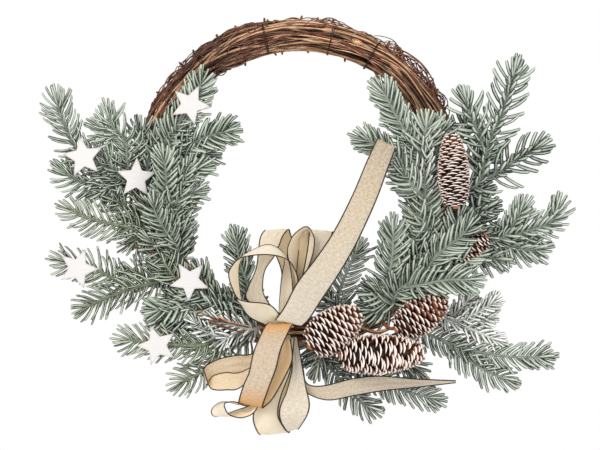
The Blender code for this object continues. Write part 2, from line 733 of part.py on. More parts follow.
def main():
    for old in list(bpy.data.objects):
        bpy.data.objects.remove(old)
    wreath = bpy.data.collections.new("christmas_wreath")
    bpy.context.scene.collection.children.link(wreath)
    vine = material("vine", (0.19, 0.082, 0.041), 0.8)
    iron = material("annealed_wire", (0.03, 0.025, 0.022), 0.5, 0.8)
    bark = material("pine_cone", (0.12, 0.045, 0.025), 0.75)
    paint = material("white_paint", (0.87, 0.85, 0.84), 0.55)
    ribbon = material("woven_ribbon", (0.72, 0.6, 0.42), 0.7)
    green = material("needle_green", (0.16, 0.23, 0.19), 0.55)
    frost = material("needle_frosted", (0.5, 0.53, 0.5), 0.75)

    clearance = ring_clearance()
    clearance.hide_render = True
    clearance.display_type = "WIRE"
    ring = make_ring()
    wires = [make_wire(i + 1, step) for i, step in enumerate(WIRE_STEPS)]
    cones = [make_cone(name, *values, clearance) for name, values in CONES.items()]
    bow = make_bow(clearance)

    rooms = [star_room(x, y, z, angle) for x, y, z, angle in STARS.values()]
    crowd = Crowd([ring, bow] + wires + cones + rooms)
    note_stems(crowd)
    dice = random.Random(SEED)
    needle = needle_mesh()
    sprays = [make_spray(name, twigs, crowd, clearance, needle, dice) for name, twigs in SPRAYS.items()]
    for room in rooms:
        bpy.data.objects.remove(room)
    behind = [ring] + wires + sprays
    stars = [make_star(name, x, z, angle, behind) for name, (x, _, z, angle) in STARS.items()]
    bpy.data.objects.remove(clearance)

    finish(ring, vine, wreath)
    finish(bow, ribbon, wreath)
    for body in wires:
        finish(body, iron, wreath)
    for body in cones:
        finish(body, bark, wreath)
    for body in stars:
        finish(body, paint, wreath)
    for body in sprays:
        finish(body, frost if body.name.startswith("frosted") else green, wreath)


main()
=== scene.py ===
"""The dressed look of a half-bare Christmas wreath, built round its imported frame.

The ring of vine twigs, its binding wire, the moulded fir sprays, the pine cones, the wooden stars
and the wired ribbon bow each stand in the place of their plain solid. Every length below is in
millimetres from the centre of the ring (x right, y to the wall, z up) until a mesh is made.
"""

import itertools
import logging
import math
from collections.abc import Callable, Sequence
from dataclasses import dataclass, field
from enum import Enum
from functools import partial

import bpy
import numpy as np
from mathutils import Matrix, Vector
from mathutils.bvhtree import BVHTree


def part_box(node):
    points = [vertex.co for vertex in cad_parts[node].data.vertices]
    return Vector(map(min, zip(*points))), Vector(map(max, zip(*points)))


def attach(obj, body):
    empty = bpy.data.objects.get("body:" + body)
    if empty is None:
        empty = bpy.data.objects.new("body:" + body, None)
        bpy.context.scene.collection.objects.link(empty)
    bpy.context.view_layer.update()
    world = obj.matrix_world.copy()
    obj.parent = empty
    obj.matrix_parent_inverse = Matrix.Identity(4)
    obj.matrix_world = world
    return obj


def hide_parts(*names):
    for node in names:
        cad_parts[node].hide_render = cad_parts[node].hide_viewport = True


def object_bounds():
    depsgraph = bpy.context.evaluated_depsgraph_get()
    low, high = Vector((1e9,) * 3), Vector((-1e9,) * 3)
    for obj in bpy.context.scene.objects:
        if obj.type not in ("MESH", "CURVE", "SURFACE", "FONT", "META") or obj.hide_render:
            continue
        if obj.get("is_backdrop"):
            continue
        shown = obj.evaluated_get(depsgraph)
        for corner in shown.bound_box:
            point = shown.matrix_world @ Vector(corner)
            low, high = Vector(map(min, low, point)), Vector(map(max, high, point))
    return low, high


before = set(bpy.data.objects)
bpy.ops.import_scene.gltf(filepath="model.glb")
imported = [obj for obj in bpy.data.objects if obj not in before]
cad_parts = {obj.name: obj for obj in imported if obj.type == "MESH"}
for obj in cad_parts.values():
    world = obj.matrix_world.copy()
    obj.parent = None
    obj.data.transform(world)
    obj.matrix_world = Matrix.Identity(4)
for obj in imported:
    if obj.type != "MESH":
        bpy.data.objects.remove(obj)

LOG = logging.getLogger("wreath")
MM = 0.001
HOOK_SEAT = 139.25  # height of the hook above the centre of the ring
GOLDEN_ANGLE = math.radians(137.508)
CONE_SEED, SPRAY_SEED = 21, 41  # of the first of them, and one more for each of the next

Array = np.ndarray
Dice = np.random.Generator
Material = bpy.types.Material
Marks = dict[str, Array | float]
Point = tuple[float, float, float]
Path = Sequence[Point]
Hump = tuple[float, float, float]  # where it is highest, its half width and its height
TOWARDS_VIEWER = np.array((0.0, -1.0, 0.0))
VECTOR_MARKS = ("grain", "weave")  # marks of three values, places in a pattern


def unit(vectors: Array) -> Array:
    """Vectors of length one, along the last axis."""
    return vectors / np.maximum(np.linalg.norm(vectors, axis=-1, keepdims=True), 1e-9)


def curve_through(points: Path | Array, steps: int) -> Array:
    """A smooth curve through given points.

    Args:
        points: the points, at least two.
        steps: rows from one point to the next.

    Returns:
        The points of the curve, the first and the last as given.
    """
    known = np.asarray(points, float)
    ends = np.vstack((2 * known[0] - known[1], known, 2 * known[-1] - known[-2]))
    a, b, c, d = (ends[i : len(ends) - 3 + i, None] for i in range(4))
    t = (np.arange(steps) / steps)[None, :, None]
    found = b * 2 + (c - a) * t + (2 * a - 5 * b + 4 * c - d) * t**2 + (3 * b - a - 3 * c + d) * t**3
    return np.vstack((0.5 * found.reshape(-1, 3), known[-1]))


def run_of(path: Array) -> Array:
    """The distance along a path at each of its points."""
    return np.concatenate(([0.0], np.cumsum(np.linalg.norm(np.diff(path, axis=0), axis=1))))


def at_runs(path: Array, runs: Array) -> tuple[Array, Array]:
    """Points and directions of a path at given distances along it.

    Args:
        path: the path's points.
        runs: distances from its start.

    Returns:
        The points and the unit directions there.
    """
    known = run_of(path)
    spots, ahead, behind = (
        np.stack([np.interp(runs + shift, known, path[:, k]) for k in range(3)], axis=1)
        for shift in (0.0, 0.5, -0.5)
    )
    return spots, unit(ahead - behind)


def sides_of(path: Array) -> tuple[Array, Array]:
    """Two directions across a path that turn as little as possible along it.

    Args:
        path: the path's points.

    Returns:
        The side direction and the face direction at each point.
    """
    ahead = unit(np.gradient(path, axis=0))
    side = np.empty_like(ahead)
    start = np.cross(ahead[0], TOWARDS_VIEWER)
    if np.linalg.norm(start) < 0.1:
        start = np.cross(ahead[0], (1.0, 0.0, 0.0))
    side[0] = unit(start)
    for i in range(1, len(path)):
        side[i] = unit(side[i - 1] - ahead[i] * np.dot(side[i - 1], ahead[i]))
    return side, np.cross(ahead, side)


def smoothed(line: Array, reach: int) -> Array:
    """A line with each value spread evenly over its neighbours, up to a reach on both sides."""
    size = 2 * reach + 1
    return np.convolve(np.pad(line, reach, mode="edge"), np.ones(size) / size, mode="valid")


def humps(spots: Array | float, *shapes: Hump) -> Array | float:
    """How high smooth humps rise together at given places."""
    return sum(height * np.exp(-(((spots - middle) / half) ** 2)) for middle, half, height in shapes)


def wander(dice: Dice, count: int, knots: int, soften: int = 3) -> Array:
    """A slow random line between about -1 and 1.

    Args:
        dice: the random numbers.
        count: how many values.
        knots: how many free values it passes through.
        soften: how many neighbours its corners are spread over.

    Returns:
        The values.
    """
    free = dice.uniform(-1, 1, max(knots, 2))
    return smoothed(np.interp(np.linspace(0, 1, count), np.linspace(0, 1, len(free)), free), soften)


@dataclass
class Skin:
    """The surface of one piece as it grows, with the marks that its finish reads."""

    points: list[Array] = field(default_factory=list)
    faces: list[Array] = field(default_factory=list)
    marks: dict[str, list[tuple[int, Array]]] = field(default_factory=dict)  # first points, values
    count: int = 0

    def add(self, grids: Array, numbers: Marks, arrows: Marks | None = None) -> None:
        """Adds closed bodies, each a stack of closed rings with a cap on both ends.

        Args:
            grids: points as (bodies, rings, points of a ring, 3), turned right-handed.
            numbers: marks of one value, each of a shape that spreads over bodies, rings, points.
            arrows: marks of three values, spread in the same way.
        """
        shape = grids.shape[:3]
        index = self.count + np.arange(np.prod(shape)).reshape(shape)
        after = np.roll(index, -1, axis=2)
        sides = np.stack((index[:, :-1], after[:, :-1], after[:, 1:], index[:, 1:]), axis=-1)
        self.points.append(grids.reshape(-1, 3))
        self.faces += [sides.reshape(-1, 4), index[:, 0, ::-1], index[:, -1]]
        for marks, width in ((numbers, ()), (arrows or {}, (3,))):
            for name, value in marks.items():
                self.mark(name, np.broadcast_to(np.asarray(value, float), shape + width), self.count)
        self.count += len(self.points[-1])

    def mark(self, name: str, values: Array, first: int) -> None:
        """Notes a mark's values for the points from a first one on."""
        self.marks.setdefault(name, []).append((first, values))

    def tube(self, path: Array, radii: Array | float, sides: int, numbers: Marks, offset: float = 0.0) -> None:
        """Adds a round bar along a path, with a "grain" mark that runs along it without a seam.

        Args:
            path: the points of its middle line.
            radii: its radius at each of them, or one radius.
            sides: points of each ring.
            numbers: marks of one value, for the bar or for each point of the path.
            offset: shifts the grain, so that no two bars look alike.
        """
        side, face = sides_of(path)
        wide = np.broadcast_to(np.asarray(radii, float), len(path))[:, None, None]
        turn = np.arange(sides)[None, :, None] * math.tau / sides
        rings = path[:, None] + wide * (side[:, None] * np.cos(turn) + face[:, None] * np.sin(turn))
        run = np.broadcast_to(run_of(path)[:, None] + offset, (len(path), sides))
        wide, turn = wide[..., 0], turn[..., 0]
        grain = np.stack((wide * np.cos(turn), wide * np.sin(turn) + offset, run), axis=-1)
        spread = {name: np.reshape(value, (1, -1, 1)) for name, value in numbers.items()}
        self.add(rings[None], spread, {"grain": grain[None]})

    def make(self, name: str, finish: Material, slot: str, replaced: str) -> bpy.types.Object:
        """Turns the surface into a piece that rides on the wreath.

        Args:
            name: the piece's name.
            finish: its material.
            slot: the record's material slot that the finish belongs to; not used.
            replaced: the frame's node that it stands for.

        Returns:
            The piece.
        """
        co = (np.vstack(self.points) - (0.0, 0.0, HOOK_SEAT)) * MM
        corners = np.concatenate([faces.ravel() for faces in self.faces])
        sizes = np.concatenate([np.full(len(faces), faces.shape[1]) for faces in self.faces])
        mesh = bpy.data.meshes.new(name)
        mesh.vertices.add(len(co))
        mesh.vertices.foreach_set("co", co.ravel().astype(np.float32))
        mesh.loops.add(len(corners))
        mesh.loops.foreach_set("vertex_index", corners.astype(np.int32))
        mesh.polygons.add(len(sizes))
        mesh.polygons.foreach_set("loop_start", (np.cumsum(sizes) - sizes).astype(np.int32))
        mesh.update(calc_edges=True)
        mesh.validate()
        mesh.shade_smooth()
        for mark, parts in self.marks.items():
            kind, key, width = ("FLOAT_VECTOR", "vector", 3) if mark in VECTOR_MARKS else ("FLOAT", "value", 1)
            values = np.zeros((len(co), width), np.float32)
            for first, part in parts:
                rows = part.reshape(-1, width)
                values[first : first + len(rows)] = rows
            mesh.attributes.new(mark, kind, "POINT").data.foreach_set(key, values.ravel())
        mesh.materials.append(finish)
        piece = bpy.data.objects.new(name, mesh)
        bpy.context.scene.collection.objects.link(piece)
        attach(piece, "root")
        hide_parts(replaced)
        LOG.info("%s: %d points", name, len(co))
        return piece


# Finishes

Takes = dict[int | str, object]
Colour = tuple[float, float, float, float]


def linear(shade: str) -> Colour:
    """An sRGB hex colour as the linear one that a shader takes."""
    parts = (int(shade[i : i + 2], 16) / 255 for i in (1, 3, 5))
    return (*(p / 12.92 if p <= 0.04045 else ((p + 0.055) / 1.055) ** 2.4 for p in parts), 1.0)


def add_node(
    tree: bpy.types.NodeTree, kind: str, takes: Takes | None = None, out: int | str = 0, **settings: object
) -> bpy.types.NodeSocket | None:
    """Adds a shader node.

    Args:
        tree: where it goes.
        kind: Blender's name of it, without "ShaderNode".
        takes: what each input takes: a number, a hex colour, or the output linked to it.
        out: which of its outputs is wanted.
        settings: the node's own settings.

    Returns:
        That output, if the node has any.
    """
    made = tree.nodes.new("ShaderNode" + kind)
    for name, value in settings.items():
        setattr(made, name, value)
    for key, value in (takes or {}).items():
        if isinstance(value, bpy.types.NodeSocket):
            tree.links.new(value, made.inputs[key])
        else:
            made.inputs[key].default_value = linear(value) if isinstance(value, str) else value
    return made.outputs[out] if made.outputs else None


FACTOR, FIRST, SECOND = 0, 6, 7  # inputs of a Mix node that mixes colours
COLOURS = {"kind": "Mix", "out": 2, "data_type": "RGBA"}  # what makes it such a node
NodeMaker = Callable[..., bpy.types.NodeSocket]
WAVE = 0.314  # a wave texture's period at a scale of 1


@dataclass(frozen=True)
class Finish:
    """A material with one shader, laid out from real measures."""

    name: str

    def surface(self, node: NodeMaker) -> Takes:
        """Lays out the nodes.

        Args:
            node: adds a node to the material.

        Returns:
            What its shader takes.
        """
        raise NotImplementedError

    def make(self) -> Material:
        """Builds the material.

        Returns:
            The material.
        """
        made = bpy.data.materials.new(self.name)
        made.use_nodes = True
        made.node_tree.nodes.clear()
        node = partial(add_node, made.node_tree)
        node("OutputMaterial", {"Surface": node("BsdfPrincipled", self.surface(node))})
        return made


@dataclass(frozen=True)
class MouldedNeedle(Finish):
    """Polyethylene needles, injection moulded in grey green and dusted with white flock.

    It gives a soft matt skin with a painted highlight along the ridge that grows from the roots towards the tips, and
    painted shade along the edges.
    """

    name: str = "moulded_polyethylene_needle"
    # painted shade along each needle's edges and on needles further back, and the darkest of the random tints
    deep_and_painted_shade: str = "#2B332B"
    body: str = "#89958B"
    olive: str = "#939C7C"
    # a painted highlight along each needle's ridge
    painted_ridge_highlight: str = "#C0C9B9"
    flock: str = "#F1F1EE"
    dust_mm: float = 5.0  # patches of dusting along a needle
    grain_mm: float = 0.7  # grains of flock, drawn three times as coarse as they are so that they show
    roughness: float = 0.62

    def surface(self, node: NodeMaker) -> Takes:
        """Lays painted shade along the edges and a painted highlight along the ridge over the green, and flock over
        both.

        Args:
            node: adds a node to the material.

        Returns:
            What its shader takes.
        """
        place = node("TexCoord", out="Object")
        marks = ("tint", "rim", "tip", "frost", "warm")
        tint, rim, tip, frost, warm = (node("Attribute", out="Fac", attribute_name=mark) for mark in marks)
        dust, grain = (
            node("TexNoise", {"Vector": place, "Scale": 1 / (size * MM), "Detail": detail})
            for size, detail in ((self.dust_mm, 2.0), (self.grain_mm, 3.0))
        )
        lift = node("Math", {0: tint, 1: dust}, operation="ADD")
        # painted shade: each needle's edges turn dark
        painted_rim_shade = node("Math", {0: rim, 1: -1.15, 2: lift}, operation="MULTIPLY_ADD")
        share = node("MapRange", {"Value": painted_rim_shade, "From Min": -0.1, "From Max": 0.75})
        green = node(takes={FACTOR: warm, FIRST: self.body, SECOND: self.olive}, **COLOURS)
        plain = node(takes={FACTOR: share, FIRST: self.deep_and_painted_shade, SECOND: green}, **COLOURS)
        # painted highlight along the ridge, strongest towards the tip
        highlight_share = node("Math", {0: 1.0, 1: rim}, operation="SUBTRACT")
        for part in (tip, share):
            highlight_share = node("Math", {0: highlight_share, 1: part}, operation="MULTIPLY")
        painted_ridge_highlight = node("MapRange", {"Value": highlight_share, "From Min": 0.2, "From Max": 0.8, "To Max": 0.9})
        # the painted highlight laid over the green
        painted_light = node(takes={FACTOR: painted_ridge_highlight, FIRST: plain, SECOND: self.painted_ridge_highlight}, **COLOURS)
        white = node("MapRange", {"Value": grain, "From Min": 0.22, "From Max": 0.52})
        upper = node("MapRange", {"Value": rim, "From Min": 0.4, "From Max": 0.85, "To Min": 1.0, "To Max": 0.0})
        for part in (frost, upper):
            white = node("Math", {0: white, 1: part}, operation="MULTIPLY")
        return {
            "Base Color": node(takes={FACTOR: white, FIRST: painted_light, SECOND: self.flock}, **COLOURS),
            "Roughness": node("MapRange", {"Value": grain, "To Min": self.roughness - 0.1, "To Max": 0.9}),
            "Normal": node("Bump", {"Height": grain, "Strength": 0.25, "Distance": 0.15 * MM}),
            "IOR": 1.5,
            "Specular IOR Level": 0.35,
        }


@dataclass(frozen=True)
class VineBark(Finish):
    """Dried grapevine bark, as it peels off the twigs in long strips.

    It gives a dry matt skin: dark red brown in the furrows, tan and orange on the worn fibres, and the furrows'
    colour spread as painted shade over twigs deep in the bundle.
    """

    name: str = "dried_vine_bark"
    # the furrows' colour, also painted as shade over deep twigs
    furrow_and_depth_shade: str = "#1F0F09"
    body: str = "#7C4A32"
    fibre: str = "#EAB78C"
    weathered: str = "#C4B2A0"
    fibre_mm: float = 0.8  # across the fibres, drawn twice as coarse as they are so that they show
    stretch: float = 0.07  # fibres run about fourteen times as long as they are wide
    patch: float = 0.05  # grey patches, about 20 mm across
    roughness: float = 0.7

    def surface(self, node: NodeMaker) -> Takes:
        """Draws the fibres along the twig, with grey patches and dark furrows, which spread as painted shade over
        twigs that lie deep or in the tangles.

        Args:
            node: adds a node to the material.

        Returns:
            What its shader takes.
        """
        grain = node("Attribute", out="Vector", attribute_name="grain")
        tint, painted_lit_share = (node("Attribute", out="Fac", attribute_name=mark) for mark in ("tint", "open"))
        across = 1 / self.fibre_mm
        drawn = node("Mapping", {"Vector": grain, "Scale": (across, across, self.stretch)})
        fibres = node("TexNoise", {"Vector": drawn, "Scale": 1.0, "Detail": 4.0})
        patches = node("TexNoise", {"Vector": grain, "Scale": self.patch, "Detail": 2.0})
        blend = node("Math", {0: fibres, 1: tint}, operation="ADD")
        worn = node("MapRange", {"Value": blend, "From Min": 0.45, "From Max": 1.15})
        lines = node("MapRange", {"Value": fibres, "From Min": 0.38, "From Max": 0.54, "To Min": 0.1})
        # painted shade: the furrow colour spreads over twigs that lie deep
        dark = node("Math", {0: lines, 1: painted_lit_share}, operation="MULTIPLY")
        grey = node("MapRange", {"Value": patches, "From Min": 0.56, "From Max": 0.72, "To Max": 0.6})
        body = node(takes={FACTOR: worn, FIRST: self.body, SECOND: self.fibre}, **COLOURS)
        aged = node(takes={FACTOR: grey, FIRST: body, SECOND: self.weathered}, **COLOURS)
        return {
            "Base Color": node(takes={FACTOR: dark, FIRST: self.furrow_and_depth_shade, SECOND: aged}, **COLOURS),
            "Roughness": node("MapRange", {"Value": fibres, "To Min": 0.9, "To Max": self.roughness - 0.2}),
            "Normal": node("Bump", {"Height": fibres, "Strength": 0.7, "Distance": 0.5 * MM}),
            "Specular IOR Level": 0.4,
        }


@dataclass(frozen=True)
class AnnealedWire(Finish):
    """Iron florist's wire, annealed, so a dull dark metal with a thin uneven scale.

    It gives near black brown wire with duller and brighter patches.
    """

    name: str = "annealed_iron_wire"
    scale: str = "#1F1916"
    metal: str = "#433A35"
    patch_mm: float = 1.5

    def surface(self, node: NodeMaker) -> Takes:
        """Breaks the scale up in patches.

        Args:
            node: adds a node to the material.

        Returns:
            What its shader takes.
        """
        place = node("TexCoord", out="Object")
        patch = node("TexNoise", {"Vector": place, "Scale": 1 / (self.patch_mm * MM), "Detail": 3.0})
        return {
            "Base Color": node(takes={FACTOR: patch, FIRST: self.scale, SECOND: self.metal}, **COLOURS),
            "Metallic": 0.9,
            "Roughness": node("MapRange", {"Value": patch, "To Min": 0.65, "To Max": 0.35}),
            "Normal": node("Bump", {"Height": patch, "Strength": 0.3, "Distance": 0.1 * MM}),
        }


@dataclass(frozen=True)
class ConeWood(Finish):
    """Woody scales of a pine cone, dried open and brushed with white at their lips.

    It gives near black painted shade at the scales' roots and on the core, red brown plates and chalky cream lips.
    """

    name: str = "frosted_cone_wood"
    # painted shade deep between the scales
    depth: str = "#2E160E"
    plate: str = "#8C563D"
    lip: str = "#EED9CB"
    chalk: str = "#FBF6F1"
    scar: str = "#C9763F"
    grain_mm: float = 1.7

    def surface(self, node: NodeMaker) -> Takes:
        """Darkens each plate towards its root with painted shade, and lays white on the lips of the plates, broken by
        the grain.

        Args:
            node: adds a node to the material.

        Returns:
            What its shader takes.
        """
        place = node("TexCoord", out="Object")
        lip, tint, scar = (node("Attribute", out="Fac", attribute_name=mark) for mark in ("lip", "tint", "scar"))
        grain = node("TexNoise", {"Vector": place, "Scale": 1 / (self.grain_mm * MM), "Detail": 4.0})
        # painted shade towards the root of each scale
        outward = node("MapRange", {"Value": lip, "From Max": 0.55})
        reach = node("Math", {0: lip, 1: grain, 2: tint}, operation="MULTIPLY_ADD")
        edge = node("MapRange", {"Value": reach, "From Min": 0.4, "From Max": 0.58})
        near = node("MapRange", {"Value": lip, "From Min": 0.62, "From Max": 0.9})
        pale = node("Math", {0: edge, 1: near}, operation="MULTIPLY")
        plate = node(takes={FACTOR: outward, FIRST: self.depth, SECOND: self.plate}, **COLOURS)
        powder = node(takes={FACTOR: grain, FIRST: self.lip, SECOND: self.chalk}, **COLOURS)
        frosted = node(takes={FACTOR: pale, FIRST: plate, SECOND: powder}, **COLOURS)
        return {
            "Base Color": node(takes={FACTOR: scar, FIRST: frosted, SECOND: self.scar}, **COLOURS),
            "Roughness": node("MapRange", {"Value": pale, "To Min": 0.5, "To Max": 0.85}),
            "Normal": node("Bump", {"Height": grain, "Strength": 0.6, "Distance": 0.3 * MM}),
            "Specular IOR Level": 0.4,
        }


@dataclass(frozen=True)
class PaintedPlywood(Finish):
    """Poplar plywood, laser cut and brushed with matt white paint.

    It gives a flat near white with the faintest grain under the paint and warmer rims.
    """

    name: str = "painted_poplar_plywood"
    paint: str = "#D6D4D5"
    thin: str = "#C2BBB7"
    grain_mm: float = 1.6

    def surface(self, node: NodeMaker) -> Takes:
        """Draws the grain across the star, thinner paint along it and on the rims.

        Args:
            node: adds a node to the material.

        Returns:
            What its shader takes.
        """
        place = node("TexCoord", out="Object")
        fine = 1 / (self.grain_mm * MM)
        drawn = node("Mapping", {"Vector": place, "Scale": (0.12 * fine, 1 / MM, fine)})
        grain = node("TexNoise", {"Vector": drawn, "Scale": 1.0, "Detail": 4.0})
        rim = node("Attribute", out="Fac", attribute_name="rim")
        worn = node("Math", {0: rim, 1: grain}, operation="MULTIPLY")
        both = node("Math", {0: grain, 1: 0.5, 2: worn}, operation="MULTIPLY_ADD")
        return {
            "Base Color": node(takes={FACTOR: both, FIRST: self.paint, SECOND: self.thin}, **COLOURS),
            "Roughness": node("MapRange", {"Value": grain, "To Min": 0.5, "To Max": 0.75}),
            "Normal": node("Bump", {"Height": grain, "Strength": 0.2, "Distance": 0.12 * MM}),
        }


@dataclass(frozen=True)
class SheerRibbon(Finish):
    """Sheer ribbon, plain woven of linen coloured thread.

    It gives a fine square weave, each strip painted paler or more khaki partly for the light on it, with a painted
    pale golden glow on the loops' inner faces and painted gold at the folds, where light would come through the
    cloth.
    """

    name: str = "plain_woven_sheer_ribbon"
    thread: str = "#D4CCBE"
    gap: str = "#94836E"
    # painted gold at the folds and inside the loops, for light through and between the layers; also the golden wash
    # and patches
    gold: str = "#BE8C4E"
    # a painted pale glow on faces that light would come through
    painted_glow: str = "#EFD7B4"
    edge: str = "#241C17"
    thread_mm: float = 1.9  # two threads, drawn three times as coarse as they are so that they show
    selvage_mm: float = 0.5

    def surface(self, node: NodeMaker) -> Takes:
        """Weaves the threads, and lays painted glow, painted gold with golden patches, and the dark selvage over
        them.

        Args:
            node: adds a node to the material.

        Returns:
            What its shader takes.
        """
        weave = node("Attribute", out="Vector", attribute_name="weave")
        marks = ("inner", "fold", "margin", "tone")
        inner, fold, margin, tone = (node("Attribute", out="Fac", attribute_name=mark) for mark in marks)
        threads = {"Vector": weave, "Scale": WAVE / self.thread_mm, "Distortion": 1.7, "Detail": 3.0}
        warp, weft = (node("TexWave", threads, "Fac", bands_direction=way) for way in ("X", "Y"))
        crossed = node("Math", {0: warp, 1: weft}, operation="MAXIMUM")
        slubs = node("Mapping", {"Vector": weave, "Scale": (0.5, 0.3, 1.0)})
        solid = node("TexNoise", {"Vector": slubs, "Scale": 1.0, "Detail": 3.0})
        patches = node("TexNoise", {"Vector": weave, "Scale": 0.12, "Detail": 2.0})
        solid = node("Math", {0: solid, 1: 1.2, 2: tone}, operation="MULTIPLY_ADD")
        solid = node("Math", {0: crossed, 1: 0.34, 2: solid}, operation="MULTIPLY_ADD")
        cover = node("MapRange", {"Value": solid, "From Min": 0.5, "From Max": 1.6})
        patchy = node("MapRange", {"Value": patches, "From Min": 0.45, "From Max": 0.85, "To Max": 0.2})
        # painted gold at the folds, and random golden patches
        gold_patches_and_painted_folds = node("Math", {0: fold, 1: patchy}, operation="MAXIMUM")
        cloth = node(takes={FACTOR: cover, FIRST: self.gap, SECOND: self.thread}, **COLOURS)
        # painted glow first, then painted gold over it
        for share, over in ((inner, self.painted_glow), (gold_patches_and_painted_folds, self.gold)):
            cloth = node(takes={FACTOR: share, FIRST: cloth, SECOND: over}, **COLOURS)
        within = node("MapRange", {"Value": margin, "From Min": self.selvage_mm, "From Max": 2 * self.selvage_mm})
        return {
            "Base Color": node(takes={FACTOR: within, FIRST: self.edge, SECOND: cloth}, **COLOURS),
            "Roughness": 0.6,
            "Normal": node("Bump", {"Height": crossed, "Strength": 0.35, "Distance": 0.2 * MM}),
            "Subsurface Weight": 0.65,
            "Subsurface Radius": (1.0, 0.9, 0.75),
            "Subsurface Scale": 1.5 * MM,
            "Specular IOR Level": 0.3,
        }


@dataclass(frozen=True)
class EdgeCord(Finish):
    """Cotton cord woven over the thin wire in a ribbon's edge.

    It gives a matt, finely ribbed line, near black.
    """

    name: str = "cotton_edge_cord"
    dark: str = "#150F0B"
    worn: str = "#2B211A"
    rib_mm: float = 0.9

    def surface(self, node: NodeMaker) -> Takes:
        """Ribs the cord along its length.

        Args:
            node: adds a node to the material.

        Returns:
            What its shader takes.
        """
        grain = node("Attribute", out="Vector", attribute_name="grain")
        takes = {"Vector": grain, "Scale": WAVE / self.rib_mm, "Distortion": 1.0}
        ribs = node("TexWave", takes, "Fac", bands_direction="Z")
        return {
            "Base Color": node(takes={FACTOR: ribs, FIRST: self.dark, SECOND: self.worn}, **COLOURS),
            "Roughness": 0.8,
            "Normal": node("Bump", {"Height": ribs, "Strength": 0.5, "Distance": 0.15 * MM}),
        }


@dataclass(frozen=True)
class StudioPaper(Finish):
    """Seamless white background paper, matt.

    It gives a plain pale floor.
    """

    name: str = "white_background_paper"
    white: str = "#F4F4F2"

    def surface(self, node: NodeMaker) -> Takes:
        """What its shader takes."""
        return {"Base Color": self.white, "Roughness": 0.9}


# The ring and its wire


